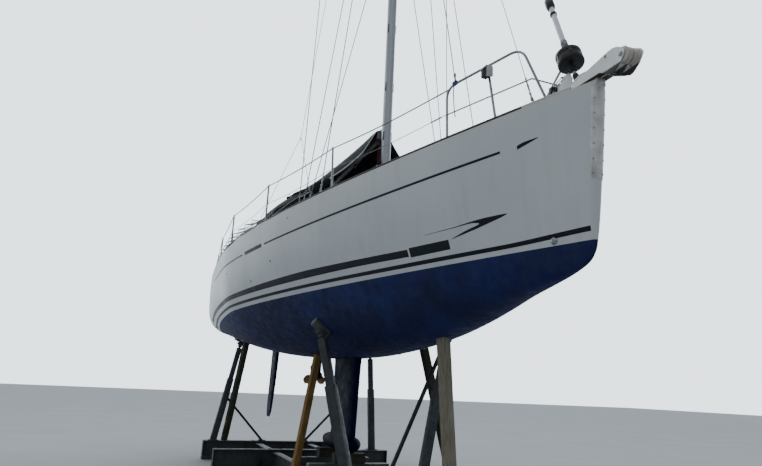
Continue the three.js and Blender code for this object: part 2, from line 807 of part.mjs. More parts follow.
for (const [level, height, reach, sweepBack] of SPREADERS) {
  for (const [side, word] of [[1, 'port'], [-1, 'starboard']]) {
    const tip = spreaderTip(side, height, reach - 12, sweepBack);
    const root = vec(MAST_X - 30, side * 20, height);
    const arm = bar(root, tip, 26, 70);
    add(`${level}_spreader_${word}`, arm.subtract(tightMast), alloy);
  }
}

function turnbuckle(foot, toward, radius) {
  const up = toward.clone().sub(foot).normalize();
  return rod(foot.clone().addScaledVector(up, 20), foot.clone().addScaledVector(up, 300), radius, 8);
}

for (const [side, word] of [[1, 'port'], [-1, 'starboard']]) {
  const foot = vec(CHAINPLATE_X, side * CHAINPLATE_Y, CHAINPLATE_HEIGHT);
  const low = spreaderTip(side, LOWER_SPREADER_HEIGHT, 1060 + 2, 170);
  const high = spreaderTip(side, UPPER_SPREADER_HEIGHT, 780 + 2, 120);
  const hounds = vec(MAST_X - 10, side * 62, HOUNDS);
  const cap = union([
    sweep([foot.clone().add(vec(0, 0, 20)), low, high, hounds], WIRE_RADIUS, 6),
    turnbuckle(foot, low, 13),
    block(foot.x - 30, foot.x + 30, foot.y - 5, foot.y + 5, 1040, 1190),
  ]);
  add(`cap_shroud_${word}`, cap.subtract(deckCover).subtract(tightMast), stainless);
  const lowerFoot = vec(CHAINPLATE_X + 180, side * (CHAINPLATE_Y - 60), CHAINPLATE_HEIGHT);
  const lowerTop = vec(MAST_X - 10, side * 60, LOWER_SPREADER_HEIGHT - 80);
  const lower = union([
    sweep([lowerFoot, lowerTop], WIRE_RADIUS, 6),
    turnbuckle(lowerFoot, lowerTop, 12),
    block(lowerFoot.x - 25, lowerFoot.x + 25, lowerFoot.y - 5, lowerFoot.y + 5, 1040, 1190),
  ]);
  add(`lower_shroud_${word}`, lower.subtract(deckCover).subtract(tightMast), stainless);
  const midFoot = vec(CHAINPLATE_X + 90, side * (CHAINPLATE_Y - 25), CHAINPLATE_HEIGHT);
  const midTop = vec(MAST_X + 20, side * 60, UPPER_SPREADER_HEIGHT + 900);
  const mid = union([
    sweep([midFoot, midTop], WIRE_RADIUS, 6),
    turnbuckle(midFoot, midTop, 12),
    block(midFoot.x - 25, midFoot.x + 25, midFoot.y - 5, midFoot.y + 5, 1040, 1190),
  ]);
  add(`intermediate_shroud_${word}`, mid.subtract(deckCover).subtract(tightMast), stainless);
}

const backstayTop = vec(MAST_X - 300, 0, MASTHEAD - 60 - TOUCH);
const backstaySplit = vec(1750, 0, 4700);
add('backstay', union([
  sweep([backstayTop, backstaySplit], WIRE_RADIUS, 6),
  ...[1, -1].map((side) => sweep([
    backstaySplit.clone().add(vec(10, 0, 20)),
    vec(560, side * 1240, deckTop(560, 1240) - 10),
  ], WIRE_RADIUS, 6)),
]).subtract(deckCover).subtract(mast.translate([0, 0, -TOUCH])).subtract(mast), stainless);

// Forestay: the screw stands still and the drum and foil turn about it
function onForestay(x) {
  return vec(x, 0, FORESTAY_FOOT[1] + (x - FORESTAY_FOOT[0]) * FORESTAY_SLOPE);
}

const stayDirection = vec(-1, 0, -FORESTAY_SLOPE).normalize();
const stayFoot = onForestay(FORESTAY_FOOT[0]);
const alongStay = (distance) => stayFoot.clone().addScaledVector(stayDirection, distance);
const stayLength = (FORESTAY_FOOT[0] - (MAST_X + 150)) / -stayDirection.x;
add('forestay_screw', union([
  rod(alongStay(60), alongStay(250), 15, 10),
  rod(alongStay(200), alongStay(420), 10, 10),
  rod(alongStay(130), alongStay(220), 22, 10),
]).subtract(stemFitting.translate([0, 0, TOUCH])), stainless);
add('forestay_head', union([
  rod(alongStay(stayLength - 260), alongStay(stayLength - 30), 9, 10),
]).subtract(mast.translate([TOUCH, 0, 0])).subtract(mast), stainless);
const furler = union([
  rod(alongStay(262), alongStay(276), 115, 24),
  rod(alongStay(270), alongStay(390), 62, 20),
  rod(alongStay(380), alongStay(394), 112, 24),
  rod(alongStay(390), alongStay(520), 34, 12),
  rod(alongStay(500), alongStay(stayLength - 190), 23, 10),
]).subtract(rod(alongStay(240), alongStay(430), 11, 16)).subtract(
  rod(alongStay(stayLength - 300), alongStay(stayLength - 100), 10, 16));
add('headsail_furler', furler, blackPlastic);

// Boom and winter tent
const BOOM_SIDES = 12;
const boomCrest = BOOM_HEIGHT + (BOOM_DEPTH / 2) * Math.cos(Math.PI / BOOM_SIDES);
const boomNose = BOOM_PIVOT_X - 75;
const boomBody = union([
  loft([boomNose, BOOM_END_X].map((x) => Array.from({ length: BOOM_SIDES }, (_, k) => {
    const turn = (2 * Math.PI * (k + 0.5)) / BOOM_SIDES;
    return vec(x, (BOOM_WIDTH / 2) * Math.cos(turn), BOOM_HEIGHT + (BOOM_DEPTH / 2) * Math.sin(turn));
  }))),
  block(boomNose - 20, BOOM_PIVOT_X, -20, 20, BOOM_HEIGHT - 45, BOOM_HEIGHT + 45),
  rod(vec(BOOM_PIVOT_X, 0, BOOM_HEIGHT - 45), vec(BOOM_PIVOT_X, 0, BOOM_HEIGHT + 45), 26, 16),
]).subtract(rod(vec(BOOM_PIVOT_X, 0, BOOM_HEIGHT - 100), vec(BOOM_PIVOT_X, 0, BOOM_HEIGHT + 100), 12.8, 24));
add('boom', boomBody, alloy);

function tentRing([x, drop]) {
  const ridge = boomCrest + TOUCH + TENT_THICKNESS;
  const lowY = TENT_HEM_Y - (x < 3000 ? 60 : 0);
  const side = [
    [-lowY, TENT_HEM_HEIGHT],
    [-lowY + 15, TENT_HEM_HEIGHT + drop],
    [-lowY * 0.5, (ridge + TENT_HEM_HEIGHT + drop) / 2 - 40],
    [-40, ridge],
  ];
  const slant = x === TENT_FRONT ? TENT_FRONT_SLANT : 0;
  const outer = [...side, ...side.map(([y, z]) => [-y, z]).reverse()]
    .map(([y, z]) => vec(x - slant * Math.abs(y), y, z));
  const inner = outer.map((p) => vec(p.x, p.y * (1 - TENT_THICKNESS / lowY), p.z - TENT_THICKNESS)).reverse();
  return [...outer, ...inner];
}

function tent() {
  const rings = TENT_RINGS.map(tentRing);
  const count = rings[0].length;
  const points = rings.flat();
  const index = [];
  for (let r = 0; r + 1 < rings.length; r += 1) {
    for (let k = 0; k < count; k += 1) {
      const a = r * count + k;
      const b = r * count + ((k + 1) % count);
      index.push(a, b, b + count, a, b + count, a + count);
    }
  }
  const half = count / 2;
  for (const start of [0, (rings.length - 1) * count]) {
    for (let k = 0; k + 1 < half; k += 1) {
      const a = start + k;
      const b = start + k + 1;
      const c = start + count - 2 - k;
      const d = start + count - 1 - k;
      index.push(...(start === 0 ? [a, c, b, a, d, c] : [a, b, c, a, c, d]));
    }
  }
  const geometry = new THREE.BufferGeometry();
  const numbers = points.flatMap((p) => [p.x, p.y, p.z]);
  geometry.setAttribute('position', new THREE.Float32BufferAttribute(numbers, 3));
  geometry.setIndex(index);
  return solid(geometry);
}

add('winter_tent', tent(), tentCloth);

// Cockpit gear
for (const [side, word] of [[1, 'port'], [-1, 'starboard']]) {
  const drum = disc([[0, 0], [68, 0], [68, 12], [45, 30], [42, 90], [56, 118], [56, 132], [0, 132]], 20);
  add(`winch_${word}`, solid(drum).translate([2800, side * 1065, COAMING_HEIGHT + 10 + TOUCH]), stainless);
}

const pedestalX = WHEEL_X + 190;
add('pedestal', union([
  rod(vec(pedestalX, 0, SOLE_HEIGHT + TOUCH), vec(pedestalX, 0, WHEEL_HEIGHT + 90), 95, 16, 75),
  rod(vec(pedestalX, 0, WHEEL_HEIGHT + 80), vec(pedestalX, 0, WHEEL_HEIGHT + 190), 85, 16, 60),
  rod(vec(pedestalX, 0, WHEEL_HEIGHT), vec(WHEEL_X - 30, 0, WHEEL_HEIGHT), 14, 16),
]), gelcoat);

function steeringWheel() {
  const rim = new THREE.TorusGeometry(WHEEL_RADIUS, 13, 8, 36);
  rim.rotateY(Math.PI / 2);
  const parts = [solid(rim), rod(vec(-35, 0, 0), vec(35, 0, 0), 48, 20)];
  for (let k = 0; k < 6; k += 1) {
    const turn = (2 * Math.PI * k) / 6;
    parts.push(rod(vec(0, 0, 0), vec(0, Math.cos(turn) * WHEEL_RADIUS, Math.sin(turn) * WHEEL_RADIUS), 8, 8));
  }
  const bore = rod(vec(-50, 0, 0), vec(50, 0, 0), 14.8, 24);
  return union(parts).subtract(bore).translate([WHEEL_X, 0, WHEEL_HEIGHT]);
}

add('steering_wheel', steeringWheel(), stainless);

// Hatches and lids
function lid({ aft, forward, halfWidth, top, lid: thickness }) {
  return block(aft + 6, forward - 6, -halfWidth + 6, halfWidth - 6, top + TOUCH, top + thickness);
}

add('fore_hatch_lid', lid(FORE_HATCH), tintedAcrylic);
add('saloon_hatch_lid', lid(SALOON_HATCH), tintedAcrylic);
add('anchor_locker_lid', lid(ANCHOR_LOCKER), deckGelcoat);
add('companionway_slide', block(SLIDE.aft, SLIDE.forward, -SLIDE.halfWidth + 20, SLIDE.halfWidth - 20,
  SLIDE.under, SLIDE.under + SLIDE.thickness), tintedAcrylic);
add('companionway_boards', block(ROOF_AFT + 6, ROOF_AFT + 30 - TOUCH, -278, 278, 1000 + TOUCH, 1480)
  .subtract(deck.translate([0, 0, TOUCH])), tintedAcrylic);
for (const [side, word] of [[1, 'port'], [-1, 'starboard']]) {
  const [near, far] = side > 0 ? [LOCKER.inner, LOCKER.outer] : [-LOCKER.outer, -LOCKER.inner];
  add(`cockpit_locker_lid_${word}`,
    block(LOCKER.aft, LOCKER.forward, near, far, SEAT_HEIGHT + TOUCH, SEAT_HEIGHT + LOCKER.thickness),
    deckGelcoat);
}

// Cradle: a steel base, posts with pads, and timber props under the hull
const FORWARD_BEAM_X = 8040;
const cradleBase = union([
  ...[2400, 4050, FORWARD_BEAM_X].map((x) => {
    const reach = x === FORWARD_BEAM_X ? 1300 : 1600;
    return block(x - 90, x + 90, -reach, reach, BEAM_TOP - 300, BEAM_TOP);
  }),
  ...[1, -1].map((side) => block(2310, FORWARD_BEAM_X + 90, side * 520 - 65, side * 520 + 65,
    BEAM_TOP - 260, BEAM_TOP - 40)),
  ...[5750, 6550].map((x) => block(x - 90, x + 90, -600, 600, BEAM_TOP - 240, BEAM_TOP + 60)),
  ...[2400, FORWARD_BEAM_X].flatMap((x) => [1, -1].map((side) => {
    const reach = x === FORWARD_BEAM_X ? 1150 : 1450;
    return block(x - 110, x + 110, side * reach - 150, side * reach + 150, GROUND, BEAM_TOP - 290);
  })),
]);
add('cradle_base', cradleBase, galvanised);
for (const [x, word] of [[5750, 'aft'], [6550, 'forward']]) {
  add(`keel_block_${word}`,
    block(x - 80, x + 80, -230, 230, BEAM_TOP + 60 + TOUCH, KEEL_BOTTOM - TOUCH), paleTimber);
}

const floorCut = block(-2000, 15000, -4000, 4000, -6000, BEAM_TOP + TOUCH);
const groundCut = block(-2000, 15000, -4000, 4000, -6000, GROUND);

// Columns: name, foot X and Y on the base, pad X, Y and height, post width
const POSTS = [
  ['cradle_post_aft_starboard', 2400, -1410, 2400, -1050, -325, 120],
  ['cradle_post_aft_port', 2400, 1410, 2400, 1050, -325, 120],
  ['cradle_post_middle_port', 4000, 1330, 4250, 1120, -470, 110],
  ['cradle_post_forward_starboard', 8040, -500, 7700, -870, -425, 130],
  ['cradle_post_forward_port', 8040, 450, 8000, 800, -435, 110],
];

// Braces from a post down to the base: head X, Y and height, foot X and Y
const BRACES = {
  cradle_post_aft_starboard: [2400, -1250, -1401, 2400, -443],
  cradle_post_aft_port: [2400, 1250, -1401, 2400, 443],
  cradle_post_forward_port: [8005, 750, -540, 8040, -30],
};
const BRACE = { width: 44, foot: 130, plate: 14 };
const PAD = { length: 300, width: 240, thickness: 60 };

function brace([headX, headY, headZ, footX, footY]) {
  const foot = BRACE.foot / 2;
  return bar(vec(footX, footY, BEAM_TOP - 60), vec(headX, headY, headZ), BRACE.width, BRACE.width).add(
    block(footX - foot, footX + foot, footY - foot, footY + foot, BEAM_TOP - 60, BEAM_TOP + BRACE.plate));
}

for (const [name, footX, footY, padX, padY, padZ, width] of POSTS) {
  const foot = vec(footX, footY, BEAM_TOP - 60);
  const head = vec(padX, padY, padZ);
  const up = head.clone().sub(foot).normalize();
  const post = bar(foot, head, width, width).add(
    rod(head.clone().addScaledVector(up, -70), head.clone().addScaledVector(up, 70), 95, 12));
  const column = block(padX - PAD.length / 2, padX + PAD.length / 2,
    padY - PAD.width / 2, padY + PAD.width / 2, padZ - 400, padZ + 400);
  const pad = hullBody.translate([0, 0, -PAD.thickness]).intersect(column);
  const steel = union([post, pad, ...(name in BRACES ? [brace(BRACES[name])] : [])]);
  add(name, steel.subtract(hullGap).subtract(floorCut), galvanised);
}

// Columns: name, foot X, Y and height, head X, Y and height, width, material
const PROPS = [
  ['prop_aft_starboard', 2300, -1180, BEAM_TOP, 2850, -990, -200, 100, mossyTimber],
  ['prop_beside_keel', 6150, -720, GROUND, 6100, -420, -560, 95, yellowTimber],
  ['prop_forefoot', 9350, 200, GROUND, 9420, 0, -400, 110, paleTimber],
  ['prop_forward_port', 8400, 810, GROUND, 7180, 790, -300, 100, mossyTimber],
];

for (const [name, footX, footY, footZ, headX, headY, headZ, width, material] of PROPS) {
  const foot = vec(footX, footY, footZ);
  const head = vec(headX, headY, headZ);
  const up = head.clone().sub(foot).normalize();
  const timber = bar(foot.clone().addScaledVector(up, -150), head, width, width);
  const floor = footZ === GROUND ? groundCut : floorCut;
  add(name, timber.subtract(hullGap).subtract(floor), material);
}

yacht.position.set(-(HULL_LENGTH + ROLLER_REACH) / 2, 0, BOOT_TOP_HEIGHT);
const whole = new THREE.Group();
whole.add(yacht);
export default whole;
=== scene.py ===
import functools
import math
import random

import bmesh
import bpy
from mathutils import Matrix, Vector


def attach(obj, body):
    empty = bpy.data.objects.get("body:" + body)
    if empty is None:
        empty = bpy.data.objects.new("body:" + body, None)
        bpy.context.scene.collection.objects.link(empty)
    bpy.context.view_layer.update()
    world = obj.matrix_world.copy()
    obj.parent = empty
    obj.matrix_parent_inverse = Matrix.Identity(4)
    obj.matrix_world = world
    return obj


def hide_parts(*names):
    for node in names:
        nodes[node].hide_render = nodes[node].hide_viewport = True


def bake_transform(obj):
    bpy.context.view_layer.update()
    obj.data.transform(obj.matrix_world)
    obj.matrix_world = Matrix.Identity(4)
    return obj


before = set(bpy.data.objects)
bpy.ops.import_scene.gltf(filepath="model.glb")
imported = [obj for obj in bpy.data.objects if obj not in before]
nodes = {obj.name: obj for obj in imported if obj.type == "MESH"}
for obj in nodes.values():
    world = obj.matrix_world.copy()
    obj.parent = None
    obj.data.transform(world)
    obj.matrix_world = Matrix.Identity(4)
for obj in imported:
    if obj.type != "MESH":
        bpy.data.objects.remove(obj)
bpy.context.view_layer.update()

# Places are worked out in millimetres in the hull's own frame: X from the transom to the bow, Y to port,
# Z up from the boot top. P() turns them into the part's frame in metres.
SHIFT_X = 6.185
SHIFT_Z = 2.6
UP = Vector((0, 0, 1))
# Sign of Y and name of each side
SIDES = ((1, "port"), (-1, "starboard"))


def P(p):
    return Vector((p[0] / 1000 - SHIFT_X, p[1] / 1000, p[2] / 1000 + SHIFT_Z))


def V(x, y, z):
    return Vector((x, y, z))


def add_object(name, data):
    obj = bpy.data.objects.new(name, data)
    bpy.context.scene.collection.objects.link(obj)
    return obj


# Camera, fitted to the photo: its focal length and width are in the photo's pixels
FOCAL_LENGTH = 608.54
PHOTO_WIDTH = 762
SENSOR_WIDTH = 36
EYE = (9.168, -3.049, 1.463)
camera_data = bpy.data.cameras.new("camera")
camera = add_object("camera", camera_data)
bpy.context.scene.camera = camera
camera_data.sensor_width = SENSOR_WIDTH
camera_data.lens = FOCAL_LENGTH / PHOTO_WIDTH * SENSOR_WIDTH
camera_data.clip_end = 300
yaw, pitch, roll = (math.radians(a) for a in (158.907, 14.379, 2.544))
look = V(math.cos(yaw) * math.cos(pitch), math.sin(yaw) * math.cos(pitch), math.sin(pitch))
level = look.cross(UP).normalized()
upright = level.cross(look)
right = level * math.cos(roll) + upright * math.sin(roll)
up = upright * math.cos(roll) - level * math.sin(roll)
camera.matrix_world = Matrix([(right[i], up[i], -look[i], EYE[i]) for i in range(3)] + [(0, 0, 0, 1)])


# Hull lines, as in the part
def clamp(value, low=0.0, high=1.0):
    return min(max(value, low), high)


LENGTH = 12000
LAST_STATION = 11880
NOSE = 11850
NOSE_LENGTH = LAST_STATION - NOSE
WIDEST = 1892
TOUCH = 0.3
DECK_THICKNESS = 35
DECK_CAMBER = 45


def bow_rake(x):
    return 120 * clamp((x - 9000) / 2880)


def stern_rake(x):
    return 400 * clamp(1 - x / 1500)


def sheer_z(x):
    t = x / LENGTH
    return 1012 + 186 * t * t - 273 * t * (1 - t)


def sheer_y(x):
    if x > 5200:
        return 50 + 1842 * (1 - clamp((x - 5200) / 6800) ** 1.563)
    return 1498 + 394 * (1 - ((5200 - x) / 5200) ** 2)


def water_y(x):
    if x > 5000:
        return 20 + 1645 * (1 - clamp((x - 5000) / 6880) ** 1.404)
    return 1205 + 460 * (1 - ((5000 - x) / 4600) ** 2)


BOTTOM = [
    (0, -50), (500, -125), (1100, -215), (1900, -335), (2800, -455), (3800, -570), (4900, -655),
    (6000, -695), (7000, -705), (7900, -685), (8700, -645), (9400, -580), (10000, -495), (10500, -402),
    (10900, -320), (11250, -268), (11500, -230), (11680, -190), (11790, -150), (11850, -90), (11880, -10),
]


def smooth_line(table):
    steps = [(b[1] - a[1]) / (b[0] - a[0]) for a, b in zip(table, table[1:])]
    slopes = [steps[0]]
    for before, after in zip(steps, steps[1:]):
        slopes.append(0 if before * after <= 0 else 2 * before * after / (before + after))
    slopes.append(steps[-1])

    def value(x):
        x = clamp(x, table[0][0], table[-1][0])
        for i, (a, b) in enumerate(zip(table, table[1:])):
            if x <= b[0]:
                h = b[0] - a[0]
                t = (x - a[0]) / h
                return ((2 * t ** 3 - 3 * t * t + 1) * a[1] + (t ** 3 - 2 * t * t + t) * h * slopes[i]
                        + (3 * t * t - 2 * t ** 3) * b[1] + (t ** 3 - t * t) * h * slopes[i + 1])
        return table[-1][1]

    return value


bottom_z = smooth_line(BOTTOM)


@functools.lru_cache(maxsize=None)
def section(x):
    """Sheer height, half-breadth, depth and exponent of the curve of one station."""
    at_sheer = x + bow_rake(x) + stern_rake(x)
    sheer = sheer_z(at_sheer)
    beam = sheer_y(at_sheer)
    depth = sheer - bottom_z(x)
    low, high = 0.8, 4.0
    for _ in range(30):
        n = (low + high) / 2
        if (water_y(x) / beam) ** n + (sheer / depth) ** n > 1:
            low = n
        else:
            high = n
    return sheer, beam, depth, n


def raked(x, z, sheer):
    """X of a place at height z on station x."""
    return x + (bow_rake(x) + stern_rake(x)) * clamp(z / sheer)


def hull_point(x, z):
    """X and Y of the place on the port side at station x and height z."""
    sheer, beam, depth, n = section(x)
    share = clamp((sheer - z) / depth)
    return raked(x, z, sheer), beam * (1 - share ** n) ** (1 / n)


def nose_share(x, least):
    """How much of its breadth the rounded stem keeps at a station."""
    return math.sqrt(max(1 - clamp((x - NOSE) / NOSE_LENGTH) ** 2, least))


def hull_y(x, z):
    station = x
    for _ in range(10):
        rake = bow_rake(station) + stern_rake(station)
        station = clamp(x - rake * clamp(z / sheer_z(station + rake)), 0, LAST_STATION)
    return hull_point(station, z)[1]


def outward(x, z, side=1, reach=5):
    """The way out of the skin at a place, from its slopes nearby."""
    along = (hull_y(x + reach, z) - hull_y(x - reach, z)) / (2 * reach)
    rise = (hull_y(x, z + reach) - hull_y(x, z - reach)) / (2 * reach)
    return V(-along, side, -rise)


def camber(x):
    return DECK_CAMBER * clamp(sheer_y(x) / WIDEST)


def deck_top(x, y=0):
    share = y / sheer_y(x)
    return sheer_z(x) + TOUCH + DECK_THICKNESS + camber(x) * (1 - share * share)


def rail_point(x, side, lift=0, inset=95):
    y = sheer_y(x) - inset
    return V(x, side * y, deck_top(x, y) + lift)


# Mesh making
def circle(count, shift=0):
    """Angles evenly spaced once round."""
    return [2 * math.pi * (k + shift) / count for k in range(count)]


def ellipse(centre, first, second, count):
    """Places once round a centre, from the two half axes."""
    return [centre + first * math.cos(t) + second * math.sin(t) for t in circle(count)]


def square_to(axis, seed):
    """Two directions at right angles to an axis, the first one nearest to the seed."""
    side = (seed - axis * seed.dot(axis)).normalized()
    return side, axis.cross(side)


def evenly(first, last, count):
    """Values from the first to the last in even steps."""
    return [first + (last - first) * k / count for k in range(count + 1)]


def moved(x, z, outline):
    return [(x + a, z + b) for a, b in outline]


class Shape:
    """Corners in millimetres, and faces with the number of their material."""

    def __init__(self):
        self.verts, self.faces, self.slots = [], [], []

    def add(self, verts, faces, slot=0):
        base = len(self.verts)
        self.verts += [Vector(v) for v in verts]
        self.faces += [[base + i for i in face] for face in faces]
        self.slots += [slot] * len(faces)
        return self

    def loft(self, rings, slot=0, caps=True):
        """A skin over a row of rings, with both ends closed."""
        count = len(rings[0])
        faces = []
        for r in range(len(rings) - 1):
            for k in range(count):
                a, b = r * count + k, r * count + (k + 1) % count
                faces.append((a, b, b + count, a + count))
        if caps:
            faces.append(tuple(range(count))[::-1])
            faces.append(tuple((len(rings) - 1) * count + k for k in range(count)))
        return self.add([p for ring in rings for p in ring], faces, slot)

    def tube(self, points, radius, sides=12, slot=0, closed=False):
        points = [Vector(p) for p in points]
        last = len(points) - 1
        rings = []
        side = None
        for i, centre in enumerate(points):
            if closed:
                before, after = points[i - 1], points[(i + 1) % len(points)]
            else:
                before, after = points[max(i - 1, 0)], points[min(i + 1, last)]
            along = (after - before).normalized()
            side, other = square_to(along, side or (UP if abs(along.z) < 0.9 else V(1, 0, 0)))
            rings.append([centre + (side * math.cos(t) + other * math.sin(t)) * radius
                          for t in circle(sides)])
        return self.loft(rings + [rings[0]], slot, caps=False) if closed else self.loft(rings, slot)

    def lathe(self, profile, origin, sides=32, slot=0, axis=UP):
        """A profile of radius and height turned about an axis."""
        axis = Vector(axis).normalized()
        side, other = square_to(axis, V(1, 0, 0) if abs(axis.x) < 0.9 else V(0, 1, 0))
        rings = [[Vector(origin) + axis * h + (side * math.cos(t) + other * math.sin(t)) * max(r, 0.05)
                  for t in circle(sides)] for r, h in profile]
        return self.loft(rings, slot)

    def knob(self, profile, origin, sides=32, slot=0, axis=UP):
        """A turned solid: the profile, closed flat at both ends."""
        return self.lathe([(0, profile[0][1]), *profile, (0, profile[-1][1])], origin, sides, slot, axis)

    def pin(self, radius, low, high, origin, sides=32, slot=0, axis=UP):
        return self.knob([(radius, low), (radius, high)], origin, sides, slot, axis)

    def block(self, middle, axes, size, edge, slot):
        """A box along three directions, with rounded edges."""
        bm = bmesh.new()
        bmesh.ops.create_cube(bm, size=1)
        for v in bm.verts:
            v.co = V(v.co.x * size[0], v.co.y * size[1], v.co.z * size[2])
        if edge > 0:
            bmesh.ops.bevel(bm, geom=bm.edges[:], offset=edge, segments=2, affect="EDGES", profile=0.5)
        bm.verts.index_update()
        verts = [middle + axes[0] * v.co.x + axes[1] * v.co.y + axes[2] * v.co.z for v in bm.verts]
        faces = [[v.index for v in f.verts] for f in bm.faces]
        bm.free()
        return self.add(verts, faces, slot)

    def slab(self, low, high, edge=3, slot=0):
        """A level box between two corners."""
        low, high = Vector(low), Vector(high)
        size = high - low
        return self.block((low + high) / 2, (V(1, 0, 0), V(0, 1, 0), UP), size, min(edge, min(size) * 0.45),
                          slot)

    def beam(self, start, end, width, depth, edge=3, slot=0, seed=UP):
        """A square bar from one point to another."""
        start, end = Vector(start), Vector(end)
        along = (end - start).normalized()
        seed = Vector(seed) if abs(along.dot(Vector(seed))) <= 0.97 else V(0, 1, 0)
        side = along.cross(seed).normalized()
        return self.block((start + end) / 2, (along, side, along.cross(side)),
                          ((end - start).length, width, depth), edge, slot)

    def plate(self, outline, y0, y1, slot=0, edge=1.5):
        """An outline in X and Z with a thickness along Y and chamfered rims."""
        area = sum(a[0] * b[1] - b[0] * a[1] for a, b in zip(outline, outline[1:] + outline[:1]))
        centre_x, centre_z = (sum(p[i] for p in outline) / len(outline) for i in (0, 1))
        shrink = 1 - edge / max(math.hypot(x - centre_x, z - centre_z) for x, z in outline)
        inner = [(centre_x + (x - centre_x) * shrink, centre_z + (z - centre_z) * shrink) for x, z in outline]
        rings = [[V(x, y, z) for x, z in line][::-1 if area > 0 else 1]
                 for y, line in ((y0, inner), (y0 + edge, outline), (y1 - edge, outline), (y1, inner))]
        return self.loft(rings, slot)

    def bolt(self, place, axis, radius, height, slot=0):
        return self.knob([(radius, 0), (radius, height * 0.6), (radius * 0.8, height)], place, 10, slot, axis)


def rounded(points, radius, parts=6):
    """The line through the points with its corners rounded."""
    points = [Vector(p) for p in points]
    line = [points[0]]
    for before, here, after in zip(points, points[1:], points[2:]):
        back, on = before - here, after - here
        cut = min(radius, back.length / 2.1, on.length / 2.1)
        start, end = here + back.normalized() * cut, here + on.normalized() * cut
        line += [start * (1 - t) ** 2 + here * 2 * t * (1 - t) + end * t * t for t in evenly(0, 1, parts)]
    line.append(points[-1])
    return line


# Edges sharper than this many degrees aren't shaded smooth
SHARP = 38


def build_mesh(name, shape):
    mesh = bpy.data.meshes.new(name)
    mesh.from_pydata([P(v) for v in shape.verts], [], shape.faces)
    for face, index in zip(mesh.polygons, shape.slots):
        face.material_index = index
    bm = bmesh.new()
    bm.from_mesh(mesh)
    bmesh.ops.remove_doubles(bm, verts=bm.verts, dist=0.00002)
    bmesh.ops.dissolve_degenerate(bm, edges=bm.edges, dist=0.00001)
    bmesh.ops.recalc_face_normals(bm, faces=bm.faces)
    bm.to_mesh(mesh)
    bm.free()
    return mesh


def piece(name, shape, materials, body="yacht", replaces=(), smooth=SHARP):
    """A piece of the scene; without a body it doesn't ride on one."""
    mesh = build_mesh(name, shape)
    mesh.shade_smooth()
    mesh.set_sharp_from_angle(angle=math.radians(smooth))
    for material in (materials if isinstance(materials, list) else [materials]):
        mesh.materials.append(material)
    obj = add_object(name, mesh)
    if body:
        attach(obj, body)
    if replaces:
        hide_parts(*replaces)
    return obj


def cut(obj, cutters):
    """Takes simple closed shapes out of a piece."""
    for shape in cutters:
        knife = add_object("cutter", build_mesh("cutter", shape))
        modifier = obj.modifiers.new("cut", "BOOLEAN")
        modifier.operation = "DIFFERENCE"
        modifier.solver = "EXACT"
        modifier.object = knife
        bpy.context.view_layer.update()
        graph = bpy.context.evaluated_depsgraph_get()
        done = bpy.data.meshes.new_from_object(obj.evaluated_get(graph))
        obj.modifiers.remove(modifier)
        old = obj.data
        done.name = old.name + "_cut"
        obj.data = done
        bpy.data.meshes.remove(old)
        bpy.data.objects.remove(knife)
    obj.data.set_sharp_from_angle(angle=math.radians(SHARP))


# Materials
def dimmed(colour, share):
    return tuple(c * share for c in colour)


